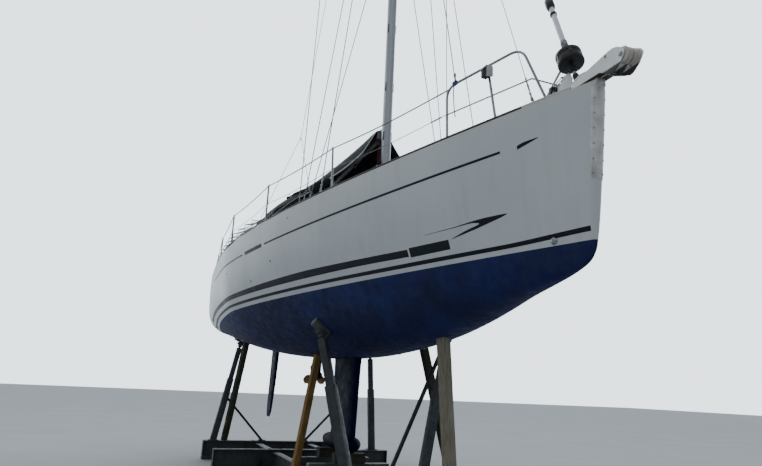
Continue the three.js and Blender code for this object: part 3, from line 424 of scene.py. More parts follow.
class Paint:
    """A node tree put together from noise layers. Places are the object's own, in metres."""

    def __init__(self, name, turn=(0, 0, 0)):
        self.material = bpy.data.materials.new(name)
        self.material.use_nodes = True
        self.tree = self.material.node_tree
        self.shader = self.tree.nodes["Principled BSDF"]
        place = self.node("ShaderNodeTexCoord").outputs["Object"]
        self.place = self.node("ShaderNodeMapping", Vector=place, Rotation=turn).outputs["Vector"]
        self.colour = self.rough = self.height = None

    def node(self, kind, **inputs):
        """A new node; inputs go by name, or by i and a number."""
        made = self.tree.nodes.new(kind)
        for key, value in inputs.items():
            number = key[1:] if key[0] == "i" else ""
            socket = made.inputs[int(number) if number.isdigit() else key.replace("_", " ")]
            if isinstance(value, bpy.types.NodeSocket):
                self.tree.links.new(value, socket)
            else:
                socket.default_value = value
        return made

    def stretched(self, stretch):
        return self.node("ShaderNodeMapping", Vector=self.place, Scale=stretch).outputs["Vector"]

    def noise(self, scale, stretch=(1, 1, 1), detail=4, rough=0.55, warp=0.0):
        return self.node("ShaderNodeTexNoise", Vector=self.stretched(stretch), Scale=scale, Detail=detail,
                         Roughness=rough, Distortion=warp).outputs["Fac"]

    def cells(self, scale):
        return self.node("ShaderNodeTexVoronoi", Vector=self.stretched((1, 1, 1)),
                         Scale=scale).outputs["Distance"]

    def waves(self, scale, stretch=(1, 1, 1), axis="X", warp=0.0):
        made = self.node("ShaderNodeTexWave", Vector=self.stretched(stretch), Scale=scale, Distortion=warp)
        made.bands_direction = axis
        return made.outputs["Fac"]

    def part(self, value, low, high, to_low=0.0, to_high=1.0):
        return self.node("ShaderNodeMapRange", Value=value, From_Min=low, From_Max=high, To_Min=to_low,
                         To_Max=to_high).outputs["Result"]

    def sum(self, kind, a, b):
        made = self.node("ShaderNodeMath", i0=a, i1=b)
        made.operation = kind
        return made.outputs[0]

    def axis(self, name):
        return self.node("ShaderNodeSeparateXYZ", Vector=self.place).outputs[name]

    def ramp(self, value, stops):
        made = self.node("ShaderNodeValToRGB", Fac=value)
        elements = made.color_ramp.elements
        while len(elements) < len(stops):
            elements.new(0.5)
        for element, (at, colour) in zip(elements, stops):
            element.position = at
            element.color = (*colour, 1)
        self.colour = made.outputs["Color"]

    def roughness(self, value, low, high):
        self.rough = self.part(value, 0.3, 0.7, low, high)

    def layer(self, mask, colour, rough=None):
        """A colour laid over the paint so far, and its roughness where one is given."""
        made = self.tree.nodes.new("ShaderNodeMix")
        made.data_type = "RGBA"
        self.tree.links.new(mask, made.inputs[0])
        self.tree.links.new(self.colour, made.inputs[6])
        made.inputs[7].default_value = (*colour, 1)
        self.colour = made.outputs[2]
        if rough is not None:
            self.rough = self.node("ShaderNodeMix", i0=mask, i2=self.rough, i3=rough).outputs[0]

    def stain(self, value, low, high, most, colour, rough=None):
        """A layer that starts where the value passes low and is at its most from high on."""
        self.layer(self.part(value, low, high, 0, most), colour, rough)

    def bumps(self, value, depth):
        value = self.sum("MULTIPLY", value, depth)
        self.height = value if self.height is None else self.sum("ADD", self.height, value)

    def done(self, metal=0.0, coat=0.0, coat_rough=0.1, sheen=0.0, specular=0.5):
        self.tree.links.new(self.colour, self.shader.inputs["Base Color"])
        self.tree.links.new(self.rough, self.shader.inputs["Roughness"])
        if self.height is not None:
            bump = self.node("ShaderNodeBump", Height=self.height, Strength=1.0, Distance=1.0)
            self.tree.links.new(bump.outputs["Normal"], self.shader.inputs["Normal"])
        for name, value in (("Metallic", metal), ("Coat Weight", coat), ("Coat Roughness", coat_rough),
                            ("Sheen Weight", sheen), ("Specular IOR Level", specular)):
            self.shader.inputs[name].default_value = value
        return self.material


def gelcoat_paint(name, low, high, dirt=0.2):
    p = Paint(name)
    p.roughness(p.noise(3.0, detail=6), 0.36, 0.5)
    p.ramp(p.noise(0.9, detail=3), [(0.35, low), (0.65, high)])
    streaks = p.part(p.noise(7.0, (1, 1, 0.09), 6, 0.6), 0.52, 0.78, 0, dirt)
    p.layer(streaks, (0.30, 0.30, 0.27), 0.5)
    specks = p.part(p.noise(60.0, detail=3), 0.68, 0.76, 0, 0.35)
    p.layer(specks, (0.25, 0.24, 0.20), 0.55)
    p.bumps(p.noise(2.2, detail=2), 0.0035)
    p.bumps(p.noise(180.0, detail=2), 0.00005)
    return p.done(coat=0.03, coat_rough=0.25, specular=0.3)


def stripe_paint(name, low, high):
    """Printed film on the topsides, with a little chalking."""
    p = Paint(name)
    p.roughness(p.noise(5.0, detail=5), 0.42, 0.6)
    p.ramp(p.noise(2.5, detail=4), [(0.35, low), (0.65, high)])
    p.stain(p.noise(9.0, (1, 1, 0.2), 6), 0.6, 0.85, 0.10, (0.06, 0.065, 0.07), 0.6)
    p.bumps(p.noise(2.2, detail=2), 0.0035)
    return p.done(specular=0.25)


def antifouling_paint(name, shade=1.0, specular=0.3):
    p = Paint(name)
    # Below 1, shade darkens every colour of the antifouling: painted shade.
    dim = lambda *colour: dimmed(colour, shade)
    p.roughness(p.noise(9.0, detail=6), 0.55, 0.85)
    p.ramp(p.noise(1.3, detail=8, rough=0.62, warp=0.4),
           [(0.30, dim(0.004, 0.007, 0.040)), (0.50, dim(0.006, 0.013, 0.082)),
            (0.70, dim(0.009, 0.024, 0.136))])
    p.stain(p.noise(4.0, (1, 1, 0.35), 8, 0.65), 0.52, 0.80, 0.45, dim(0.005, 0.007, 0.018), 0.9)
    p.stain(p.noise(26.0, (1, 1, 0.5), 5), 0.66, 0.74, 0.4, dim(0.016, 0.034, 0.105), 0.8)
    p.stain(p.noise(2.1, (0.5, 1, 3), 7, 0.6), 0.66, 0.86, 0.22, dim(0.024, 0.030, 0.048), 0.9)
    p.bumps(p.noise(40.0, detail=6), 0.0006)
    p.bumps(p.noise(260.0, detail=3), 0.0002)
    return p.done(specular=specular)


def metal_paint(name, low, high, rough=(0.2, 0.4), stain=(0.22, 0.13, 0.06), stained=0.25, metal=1.0,
                brushed=(1, 1, 1), scale=30.0):
    p = Paint(name)
    p.roughness(p.noise(scale, brushed, 5), rough[0], rough[1])
    p.ramp(p.noise(scale * 0.4, brushed, 5), [(0.3, low), (0.7, high)])
    p.stain(p.noise(9.0, (1, 1, 0.3), 7, 0.65), 0.56, 0.74, stained, stain, 0.7)
    p.bumps(p.noise(scale * 4, brushed, 3), 0.00006)
    return p.done(metal=metal)


def galvanised_paint(name, low, high, rust=0.5):
    p = Paint(name)
    p.roughness(p.noise(14.0, detail=6), 0.5, 0.8)
    p.ramp(p.noise(2.6, detail=8, rough=0.62), [(0.3, low), (0.7, high)])
    p.stain(p.cells(28.0), 0.25, 0.6, 0.25, dimmed(low, 0.6), 0.6)
    p.stain(p.noise(5.0, (1, 1, 0.4), 9, 0.68), 0.54, 0.72, rust, (0.085, 0.045, 0.022), 0.9)
    p.stain(p.noise(11.0, (1, 1, 0.15), 6), 0.58, 0.8, 0.5, (0.03, 0.032, 0.03), 0.9)
    p.bumps(p.noise(55.0, detail=6), 0.0005)
    return p.done(metal=0.25)


def timber_paint(name, stops, moss=0.0, turn=(0, 0, 0)):
    p = Paint(name, turn)
    p.roughness(p.noise(12.0, detail=5), 0.7, 0.92)
    grain = p.noise(9.0, (9, 9, 0.35), 8, 0.6, 0.5)
    p.ramp(grain, stops)
    p.stain(p.noise(60.0, (4, 4, 0.1), 4), 0.58, 0.7, 0.55, dimmed(stops[0][1], 0.45), 0.9)
    p.stain(p.noise(2.2, (1, 1, 0.6), 6), 0.5, 0.75, 0.45, dimmed(stops[-1][1], 0.5), 0.9)
    if moss:
        p.stain(p.noise(5.0, detail=8, rough=0.7), 0.45, 0.62, moss, (0.028, 0.045, 0.014), 0.95)
    p.bumps(grain, 0.004)
    p.bumps(p.noise(90.0, (5, 5, 0.15), 4), 0.0012)
    return p.done(specular=0.2)


# Scale of the weave
THREADS = 900.0


def cloth_paint(name, low, high, sheen=0.25, dirt=(0.05, 0.05, 0.045)):
    p = Paint(name)
    p.roughness(p.noise(20.0, detail=4), 0.72, 0.9)
    p.ramp(p.noise(2.4, detail=6, rough=0.6), [(0.32, low), (0.68, high)])
    p.stain(p.noise(6.0, (1, 1, 0.4), 7), 0.55, 0.8, 0.5, dirt, 0.9)
    weave = p.sum("MULTIPLY", p.waves(THREADS, (1, 0, 0)), p.waves(THREADS, (0, 0.7, 0.7), "DIAGONAL"))
    p.bumps(weave, 0.00025)
    p.bumps(p.noise(16.0, detail=5), 0.004)
    return p.done(sheen=sheen, specular=0.25)


def cheek_paint(name):
    """Painted plate with rust along its lower edge."""
    p = Paint(name)
    p.roughness(p.noise(20.0, detail=5), 0.42, 0.6)
    p.ramp(p.noise(5.0, detail=5), [(0.3, (0.66, 0.68, 0.66)), (0.7, (0.80, 0.82, 0.79))])
    p.stain(p.noise(14.0, (1, 1, 0.4), 7, 0.65), 0.60, 0.76, 0.45, (0.22, 0.15, 0.07), 0.8)
    ragged = p.sum("ADD", p.axis("Z"), p.sum("MULTIPLY", p.noise(24.0, detail=6), 0.024))
    p.stain(ragged, 3.852, 3.838, 0.94, (0.026, 0.020, 0.014), 0.9)
    p.bumps(p.noise(90.0, detail=4), 0.0002)
    return p.done(metal=0.1)


def nonskid_paint(name, low, high):
    """Moulded deck pattern of small raised diamonds."""
    p = Paint(name, (0, 0, math.pi / 4))
    p.roughness(p.noise(8.0, detail=5), 0.7, 0.88)
    p.ramp(p.noise(1.8, detail=6, rough=0.6), [(0.32, low), (0.68, high)])
    grid = p.sum("MULTIPLY", p.waves(14.0, (1, 0, 0)), p.waves(14.0, (0, 1, 0), "Y"))
    p.layer(p.part(grid, 0.15, 0.45, 0.5, 0.0), dimmed(low, 0.55), 0.9)
    p.stain(p.noise(5.0, detail=7, rough=0.65), 0.52, 0.76, 0.4, (0.13, 0.14, 0.11), 0.9)
    p.bumps(grid, 0.0012)
    return p.done(specular=0.25)


def plastic_paint(name, low, high, rough=(0.3, 0.5), grain=400.0):
    p = Paint(name)
    p.roughness(p.noise(25.0, detail=4), rough[0], rough[1])
    p.ramp(p.noise(8.0, detail=5), [(0.3, low), (0.7, high)])
    p.stain(p.noise(18.0, detail=6), 0.62, 0.8, 0.3, (0.12, 0.12, 0.11), 0.7)
    p.bumps(p.noise(grain, detail=2), 0.00008)
    return p.done()


def rope_paint(name, ground, fleck):
    p = Paint(name)
    p.roughness(p.noise(50.0), 0.75, 0.9)
    p.ramp(p.noise(30.0, detail=5), [(0.35, dimmed(ground, 0.7)), (0.65, ground)])
    lay = p.waves(130.0, (1, 1, 1), "DIAGONAL", 1.0)
    p.stain(lay, 0.78, 0.9, 0.8, fleck)
    p.bumps(lay, 0.0006)
    return p.done(specular=0.2)


WHITE = gelcoat_paint("gelcoat", (0.56, 0.59, 0.60), (0.62, 0.65, 0.66))
NAVY = stripe_paint("stripe", (0.0020, 0.0028, 0.0085), (0.0040, 0.0055, 0.0150))
TEAL = stripe_paint("stripe_teal", (0.0012, 0.0070, 0.0080), (0.0026, 0.0125, 0.0130))
BLUE = antifouling_paint("antifouling")
# A copy of the antifouling dimmed to 0.32, with little specular, for the keel, rudder and drive leg: painted
# shade for their shadow under the hull.
BLUE_PAINTED_SHADE = antifouling_paint("antifouling_painted_shade", 0.32, 0.08)
DECK = gelcoat_paint("deck", (0.55, 0.55, 0.52), (0.64, 0.64, 0.60))
ALLOY = metal_paint("alloy", (0.33, 0.35, 0.37), (0.44, 0.46, 0.48), (0.38, 0.55), (0.14, 0.14, 0.13), 0.3,
                    0.75, (1, 1, 0.08))
RAIL = metal_paint("rail_alloy", (0.030, 0.034, 0.036), (0.075, 0.080, 0.082), (0.45, 0.6),
                   (0.02, 0.02, 0.02), 0.5, 0.5)
STEEL = metal_paint("stainless", (0.26, 0.27, 0.285), (0.40, 0.41, 0.43), (0.16, 0.30))
PLATE = metal_paint("worn_plate", (0.52, 0.52, 0.50), (0.74, 0.74, 0.72), (0.4, 0.6), (0.22, 0.15, 0.08),
                    0.55, 0.45)
BRONZE = metal_paint("bronze", (0.30, 0.17, 0.07), (0.40, 0.25, 0.11), (0.4, 0.6), (0.05, 0.14, 0.11), 0.6)
GALVANISED = galvanised_paint("galvanised", (0.040, 0.048, 0.053), (0.090, 0.102, 0.110))
PAD = galvanised_paint("pad_plate", (0.030, 0.034, 0.036), (0.075, 0.082, 0.086), 0.6)
IRON = galvanised_paint("brace_iron", (0.014, 0.014, 0.015), (0.035, 0.036, 0.038), 0.7)
BLACK = plastic_paint("black_plastic", (0.004, 0.004, 0.005), (0.012, 0.012, 0.013))
RUBBER = plastic_paint("rubber", (0.010, 0.010, 0.010), (0.022, 0.022, 0.021), (0.6, 0.8))
ACRYLIC = plastic_paint("tinted_acrylic", (0.010, 0.014, 0.018), (0.016, 0.020, 0.024), (0.06, 0.14))
NYLON = plastic_paint("roller", (0.40, 0.37, 0.31), (0.62, 0.59, 0.53), (0.4, 0.6))
CHEEK_PLATE = cheek_paint("cheek_plate")
RUSTY = galvanised_paint("rusty_plate", (0.030, 0.022, 0.014), (0.070, 0.050, 0.030), 0.8)
FOIL = plastic_paint("foil", (0.78, 0.79, 0.81), (0.90, 0.91, 0.93), (0.3, 0.45))
CREAM = plastic_paint("lamp_housing", (0.42, 0.43, 0.43), (0.55, 0.56, 0.56), (0.35, 0.5))
NON_SKID = nonskid_paint("non_skid", (0.36, 0.37, 0.37), (0.44, 0.45, 0.45))
TEAK = timber_paint("teak", [(0.3, (0.17, 0.13, 0.09)), (0.5, (0.26, 0.21, 0.15)),
                             (0.72, (0.34, 0.29, 0.22))],
                    turn=(0, math.pi / 2, 0))
PALE = timber_paint("pale_timber", [(0.3, (0.15, 0.135, 0.10)), (0.5, (0.24, 0.22, 0.165)),
                                    (0.72, (0.31, 0.29, 0.225))])
PALE_ACROSS = timber_paint("pale_timber_across", [(0.3, (0.035, 0.032, 0.026)), (0.7, (0.085, 0.078, 0.062))],
                           0.3, (math.pi / 2, 0, 0))
YELLOW = timber_paint("yellow_timber", [(0.3, (0.17, 0.095, 0.024)), (0.5, (0.27, 0.165, 0.050)),
                                        (0.72, (0.34, 0.225, 0.085))])
MOSSY = timber_paint("mossy_timber", [(0.3, (0.035, 0.035, 0.022)), (0.6, (0.075, 0.072, 0.048)),
                                      (0.8, (0.13, 0.125, 0.09))], 0.75)
CLOTH = cloth_paint("cover_cloth", (0.0060, 0.0115, 0.0115), (0.0160, 0.0260, 0.0260), 0.08,
                    (0.030, 0.032, 0.030))
CLOTH_IN = cloth_paint("cover_lining", (0.003, 0.003, 0.004), (0.006, 0.005, 0.006), 0.04,
                       (0.008, 0.008, 0.008))
# A darker purple-black cloth colour for the hanging sides of the cover and its front edge outside the hem
# tape.
CLOTH_DARK = cloth_paint("side_cloth", (0.0050, 0.0028, 0.0055), (0.0095, 0.0060, 0.0105), 0.02,
                         (0.009, 0.007, 0.009))
HEM_TAPE = cloth_paint("hem_tape", (0.40, 0.43, 0.42), (0.56, 0.59, 0.58), dirt=(0.10, 0.11, 0.10))
MAROON = cloth_paint("inner_flap", (0.045, 0.004, 0.010), (0.075, 0.008, 0.018))
ROPE = rope_paint("rope", (0.60, 0.60, 0.57), (0.10, 0.12, 0.20))
ROPE_BLUE = rope_paint("rope_blue", (0.03, 0.10, 0.30), (0.4, 0.4, 0.4))
WIRE = metal_paint("wire", (0.13, 0.135, 0.14), (0.22, 0.225, 0.235), (0.25, 0.4))
GLASS = plastic_paint("lamp_glass", (0.25, 0.27, 0.28), (0.36, 0.38, 0.40), (0.1, 0.2))


# Hull: the steps of a ring below and above the boot top
BELOW_STEPS = 22
ABOVE_STEPS = 24


def hull_ring(x):
    sheer, beam, depth, n = section(x)
    boot = math.acos(clamp((sheer / depth) ** (n / 2), 0, 1))
    turns = evenly(0, boot, BELOW_STEPS)[:-1] + evenly(boot, math.pi / 2, ABOVE_STEPS)
    nose = nose_share(x, 0.0004)
    half = []
    for turn in turns:
        y = beam * math.sin(turn) ** (2 / n) * nose
        z = sheer - depth * max(math.cos(turn), 0) ** (2 / n)
        half.append((raked(x, z, sheer), y, z))
    return [V(a, -b, c) for a, b, c in half[:0:-1]] + [V(*p) for p in half]


stations = [110 * k for k in range(100)] + [11000 + 50 * k for k in range(14)]
stations += [11700 + 15 * k for k in range(10)]
stations += [NOSE + NOSE_LENGTH * math.sin(math.pi / 2 * k / 7) for k in range(8)]
hull = Shape()
rings = [hull_ring(x) for x in stations]
count = len(rings[0])
hull.verts = [p for ring in rings for p in ring]
boot_low, boot_high = count // 2 - BELOW_STEPS, count // 2 + BELOW_STEPS
for base in range(0, (len(rings) - 1) * count, count):
    for k in range(count - 1):
        a = base + k
        hull.faces.append([a, a + 1, a + 1 + count, a + count])
        hull.slots.append(1 if boot_low <= k < boot_high else 0)
    hull.faces.append([base + count - 1, base, base + count, base + 2 * count - 1])
    hull.slots.append(0)
for base in (0, (len(rings) - 1) * count):
    hull.faces.append([base + k for k in range(boot_low, boot_high + 1)])
    hull.faces.append([base + k for k in (*range(boot_low + 1), *range(boot_high, count))])
    hull.slots += [1, 0]
# The cockpit well: X of both ends, half its breadth and the height of its floor
WELL = (420, 3300, 960, 380)
RUDDER_STOCK = (950, 0, 0)
tub_space = Shape().slab((WELL[0] - TOUCH, -WELL[2] - TOUCH, WELL[3] - TOUCH),
                         (WELL[1] + TOUCH, WELL[2] + TOUCH, 1600), 0)
gate_cut = Shape().slab((-400, -330, 480), (500, 330, 1700), 0)
bore = Shape().lathe([(46, -600), (46, 400)], RUDDER_STOCK, 24)
hull_piece = piece("hull_shell", hull, [WHITE, BLUE], replaces=["hull"])
cut(hull_piece, [tub_space, gate_cut, bore])

# Stripes on the topsides, as thin films on the hull
FILM_OUTSIDE, FILM_INSIDE = 1.1, -2.0


def film(name, columns, material):
    """A film on both sides of the hull. columns: X, low Z and high Z, aft to forward."""
    low_line, high_line = (smooth_line([(c[0], c[n]) for c in columns]) for n in (1, 2))
    first, last = columns[0][0], columns[-1][0]
    shape = Shape()
    for side in (1, -1):
        rings = []
        for x in evenly(first, last, max(int((last - first) / 70), 6)):
            skin = [(V(x, hull_y(x, z), z), outward(x, z).normalized())
                    for z in evenly(low_line(x), high_line(x), 3)]
            ring = [place + way * FILM_OUTSIDE for place, way in skin]
            ring += [place + way * FILM_INSIDE for place, way in skin[::-1]]
            rings.append([V(spot.x, spot.y * side, spot.z) for spot in ring])
        shape.loft(rings)
    piece(name, shape, material, smooth=60)


COVE_DROP = 288


def cove(x, half=12):
    """A column of the stripe below the deck edge."""
    middle = sheer_z(x) - COVE_DROP
    return x, middle - half, middle + half


film("cove_stripe", [cove(x) for x in (*range(3700, 6300, 200), 6330)], NAVY)
film("cove_stripe_forward", [cove(x) for x in range(7170, 11100, 200)] + [cove(11170, 11)], NAVY)
film("cove_block", [cove(6430, 26), cove(7080, 26)], NAVY)
film("cove_dart", [(11330, 846, 880), (11390, 862, 896), (11515, 896, 903)], NAVY)
film("topside_band", [(1000, 158, 222), (4100, 153, 216), (6000, 152, 221), (8000, 152, 236),
                      (9000, 150, 222), (9990, 136, 205)], NAVY)
film("band_block", [(10015, 125, 215), (10530, 128, 215)], TEAL)
film("boot_stripe", [(700, 48, 86), (4000, 50, 88), (8000, 50, 86), (10100, 42, 80), (11050, 42, 78),
                     (11860, 66, 106)], NAVY)
film("flash", [(10895, 262, 331), (10950, 272, 333), (11040, 290, 333), (11116, 305, 332), (11184, 325, 329)],
     NAVY)
film("flash_upper", [(10262, 299, 302), (10591, 305, 311), (10803, 312, 326), (10860, 311, 330),
                     (10896, 300, 331)], NAVY)
film("flash_lower", [(10572, 212, 215), (10678, 227, 243), (10794, 245, 270), (10860, 255, 281),
                     (10896, 262, 290)], NAVY)


# Keel, rudder and drive leg
def foil_ring(leading, trailing, z, thickness, parts=22):
    half = []
    for k in range(parts + 1):
        t = (k / parts) ** 1.6
        half.append((leading - (leading - trailing) * t,
                     thickness * 2.97 * (math.sqrt(t) - t) * (1 - 0.35 * t) * 0.5 + 2))
    return [V(x, y, z) for x, y in half] + [V(x, -y, z) for x, y in half[::-1]]


def foil(table):
    """Rings of a fin. table: Z, leading X, trailing X and thickness, top to bottom."""
    leading, trailing, thick = (smooth_line([(-row[0], row[n]) for row in table]) for n in (1, 2, 3))
    return [foil_ring(leading(t), trailing(t), -t, thick(t)) for t in evenly(-table[0][0], -table[-1][0], 14)]


KEEL_BOTTOM = -2050
keel = Shape().loft(foil([(-640, 6856, 5604, 184), (-780, 6820, 5630, 170), (-1650, 6730, 5640, 170),
                          (KEEL_BOTTOM + 12, 6695, 5560, 200)]))
# The bulb: X, half-breadth and half-height, forward to aft
BULB = [(6840, 15, 15), (6780, 80, 70), (6600, 150, 110), (6200, 185, 125), (5800, 165, 115), (5450, 80, 75),
        (5280, 15, 30)]
BULB_RINGS = [6840, 6832, 6815, 6780, 6720, 6650, 6500, 6350, 6200, 6050, 5900, 5750, 5600, 5500, 5400, 5330,
              5280]
wide, tall = (smooth_line([(-row[0], row[n]) for row in BULB]) for n in (1, 2))
keel.loft([[V(x, wide(-x) * math.cos(t), max(KEEL_BOTTOM + 125 + tall(-x) * math.sin(t), KEEL_BOTTOM))
            for t in circle(28, 0.5)] for x in BULB_RINGS])
piece("keel_fin", keel, BLUE_PAINTED_SHADE, replaces=["keel"], smooth=50)
rudder = Shape().loft(foil([(-300, 1250, 560, 120), (-900, 1160, 520, 105), (-1600, 990, 470, 70),
                            (-1830, 900, 480, 40), (-1858, 840, 520, 20)]))
rudder.lathe([(45, -330), (45, 350)], RUDDER_STOCK)
piece("rudder_blade", rudder, BLUE_PAINTED_SHADE, body="rudder", replaces=["rudder"], smooth=50)
PROPELLER = V(4450, 0, -950)
AFT_WAY = (-1, 0, 0)
LEG = PROPELLER + V(160, 0, 0)
leg = Shape().loft([foil_ring(LEG.x + 150, LEG.x - 110, -560, 108),
                    foil_ring(LEG.x + 140, LEG.x - 105, -700, 100),
                    foil_ring(LEG.x + 130, LEG.x - 100, LEG.z, 90)])
leg.lathe([(0, -190), (28, -184), (50, -160), (62, -110), (62, 60), (54, 110), (40, 122), (0, 122)], LEG, 32,
          axis=AFT_WAY)
leg.tube([LEG + V(-90, 0, 0), PROPELLER + V(-38, 0, 0)], 15.5, 20)
piece("drive_leg", leg, BLUE_PAINTED_SHADE, replaces=["sail_drive_leg"], smooth=50)
screw = Shape()
screw.lathe([(17, -34), (52, -34), (52, -10), (46, 30), (34, 64), (26, 80), (0, 80)], PROPELLER, 32,
            axis=AFT_WAY)
for turn in circle(3):
    grid = []
    for t in evenly(0, 1, 12):
        r = 44 + 178 * t
        chord = 36 + 62 * math.sin(math.pi * clamp(t ** 0.9, 0.08, 0.97))
        twist = 0.9 - 0.55 * t
        row = []
        for sign, places in ((1, range(9)), (-1, range(7, 0, -1))):
            for j in places:
                c = -1 + 2 * j / 8
                thick = sign * (5.5 - 2.5 * t) * math.sqrt(1 - c * c)
                across = c * chord * math.cos(twist) - thick * math.sin(twist)
                row.append(PROPELLER + V(-20 + c * chord * math.sin(twist) * 0.62 + thick * math.cos(twist),
                                         across * math.cos(turn) - r * math.sin(turn),
                                         across * math.sin(turn) + r * math.cos(turn)))
        grid.append(row)
    screw.loft(grid)
piece("propeller_screw", screw, BRONZE, body="propeller", replaces=["propeller"], smooth=50)


# Finishes of the solids that stay as they are
for material, names in (
        (DECK, ("deck_moulding", "anchor_locker_lid", "cockpit_locker_lid_port",
                "cockpit_locker_lid_starboard")),
        (ACRYLIC, ("window_port", "window_starboard", "companionway_boards", "companionway_slide",
                   "fore_hatch_lid", "saloon_hatch_lid")),
        (PALE_ACROSS, ("keel_block_aft", "keel_block_forward"))):
    for name in names:
        mesh = nodes[name].data
        mesh.materials.clear()
        mesh.materials.append(material)
        mesh.shade_smooth()
        mesh.set_sharp_from_angle(angle=math.radians(20))


# Toe rails
for side, word in SIDES:
    rail = Shape()
    rings = []
    for x in evenly(420, 11790, 109):
        outer = sheer_y(x) - 8
        inner = outer - 34
        low = deck_top(x, outer) + 0.5
        profile = [(inner, low), (inner + 12, low + 3), (inner + 13, low + 24), (inner + 16, low + 30),
                   (outer - 10, low + 31), (outer - 6, low + 27), (outer - 8, low + 3), (outer, low - 3)]
        rings.append([V(x, side * y, z) for y, z in profile])
    split = next(k for k, ring in enumerate(rings) if ring[0].x > 11330)
    rail.loft(rings[:split + 1])
    rail.loft(rings[split:], 2)
    for k in range(28):
        x = 1100 + 380 * k
        outer = sheer_y(x) - 8
        rail.slab((x - 22, side * (outer - 24) - 3, deck_top(x, outer) + 9),
                  (x + 22, side * (outer - 24) + 3, deck_top(x, outer) + 26), 2, 1)
    piece(f"toe_rail_{word}_section", rail, [RAIL, BLACK, CREAM], replaces=[f"toe_rail_{word}"])

# Stem plate with its bolts, forestay tang and the base under the rollers
stem = Shape()


def stem_skin(z, offset, along):
    """A place on the band round the stem: along runs from -1 on starboard to 1 on port."""
    station = NOSE + NOSE_LENGTH * (1 - abs(along)) ** 0.5
    x, y = hull_point(station, z)
    y *= nose_share(station, 0.0)
    lean = math.copysign(min(abs(along) * 1.6, 1), along)
    return V(x + offset * (1 - abs(lean)) + offset * 0.1, math.copysign(y, along) + offset * lean, z)


stem.loft([[stem_skin(z, 5, a / 12) for a in range(-12, 13)]
           + [stem_skin(z, -3, a / 12) for a in range(12, -13, -1)] for z in evenly(462, 1178, 14)])
for z in (500, 610, 730, 850, 970, 1090):
    for sign in (1, -1):
        spot = stem_skin(z, 4.5, sign * 0.62)
        stem.bolt(spot, (0.25, sign, 0.02), 8, 4, 1)
stem.plate([(11600, 1225), (11600, 1300), (11640, 1335), (11780, 1388), (11860, 1380), (11985, 1305),
            (12002, 1262), (12002, 1225)], -21, 21, 0, 2)
stem.slab((11452, -40, 1210), (12005, 40, 1254), 4)
for x, z in ((11660, 1285), (11720, 1330), (11930, 1290)):
    stem.pin(17, -25, 25, (x, 0, z), 20, 1, axis=(0, 1, 0))
piece("stem_plate", stem, [PLATE, STEEL], replaces=["stem_fitting"])

# Roller cheeks and rollers
ROLLER = V(12290, 0, 1290)
ROLLER_RADIUS = 62
CHEEK_FRONTS = ((62, 70, 12370), (-4, 4, 12330), (-70, -62, 12325))


def cheek_outline(front):
    return [(11560, 1258), (11640, 1290), (11800, 1312), (front - 170, 1376), (front - 120, 1381),
            (front - 75, 1370),
            (front - 20, 1338), (front, 1308), (front - 6, 1286), (front - 40, 1235), (front - 105, 1188),
            (front - 130, 1180), (front - 150, 1184), (12060, 1254)]


cheeks = Shape()
for y0, y1, front in CHEEK_FRONTS:
    cheeks.plate(cheek_outline(front), y0, y1, 0, 2)
cheeks.slab((11562, -62, 1255), (12078, 62, 1266), 2, 2)
for y in (-62, 4):
    cheeks.beam((12082, y + 29, 1246), (12196, y + 29, 1192), 56, 7, 1, 2)
cheeks.tube([V(ROLLER.x, -77, ROLLER.z), V(ROLLER.x, 77, ROLLER.z)], 9, 20, 1)
cheeks.tube([V(12130, -72, 1352), V(12130, 72, 1352)], 6, 16, 1)
for y, way in ((72, 1), (-72, -1)):
    cheeks.knob([(19, 0), (19, 5), (13, 10)], (ROLLER.x, y - way, ROLLER.z), 6, 1, axis=(0, way, 0))
    cheeks.lathe([(0, 0), (13, 0), (13, 4), (0, 6)], (12130, y - way, 1352), 6, 1, axis=(0, way, 0))
piece("roller_cheeks", cheeks, [CHEEK_PLATE, STEEL, RUSTY], replaces=["bow_roller_cheeks"])
for low, high, word in ((9.5, 56.5, "port"), (-56.5, -9.5, "starboard")):
    wheel = Shape()
    span = high - low
    rim = ROLLER_RADIUS
    wheel.lathe([(9.9, low), (rim - 5, low), (rim, low + 3), (rim, low + 8), (rim - 8, low + span * 0.3),
                 (rim - 14, low + span / 2), (rim - 8, low + span * 0.7), (rim, high - 8), (rim, high - 3),
                 (rim - 5, high), (9.9, high)], (ROLLER.x, 0, ROLLER.z), 48, axis=(0, 1, 0))
    piece(f"bow_roller_{word}", wheel, NYLON, body=f"roller_{word}",
          replaces=[f"anchor_roller_{word}"])


def tube_base(shape, place):
    """The flange under a tube that stands on deck."""
    shape.knob([(33, -1), (33, 4), (17, 8), (15, 26)], place, 24)


# Pulpit. RAIL_TUBE: radius of the tube of pulpit, pushpits and posts
RAIL_TUBE = 12.5
pulpit = Shape()
for side in (1, -1):
    foot = rail_point(10510, side)
    pulpit.tube(rounded([foot, foot + V(-20, 0, 590), rail_point(11310, side, 630),
                         V(11540, side * 150, deck_top(11540) + 5)], 130, 9), RAIL_TUBE, 16)
    pulpit.tube([rail_point(11052, side), rail_point(10968, side, 590)], RAIL_TUBE, 16)
    pulpit.tube([rail_point(10500, side, 300), rail_point(11398, side, 290)], 7, 12)
    for x in (10510, 11052):
        base = rail_point(x, side)
        tube_base(pulpit, base)
        for dx, dy in ((22, 0), (-11, 19), (-11, -19)):
            pulpit.bolt(base + V(dx, dy, 4), UP, 4.5, 3)
    pulpit.knob([(28, -1), (28, 4), (16, 8)], V(11540, side * 150, deck_top(11540, 150)), 24)
pulpit.tube([rail_point(11400, side, 290) for side in (1, -1)], 7, 12)
piece("pulpit_frame", pulpit, STEEL, replaces=["pulpit"])

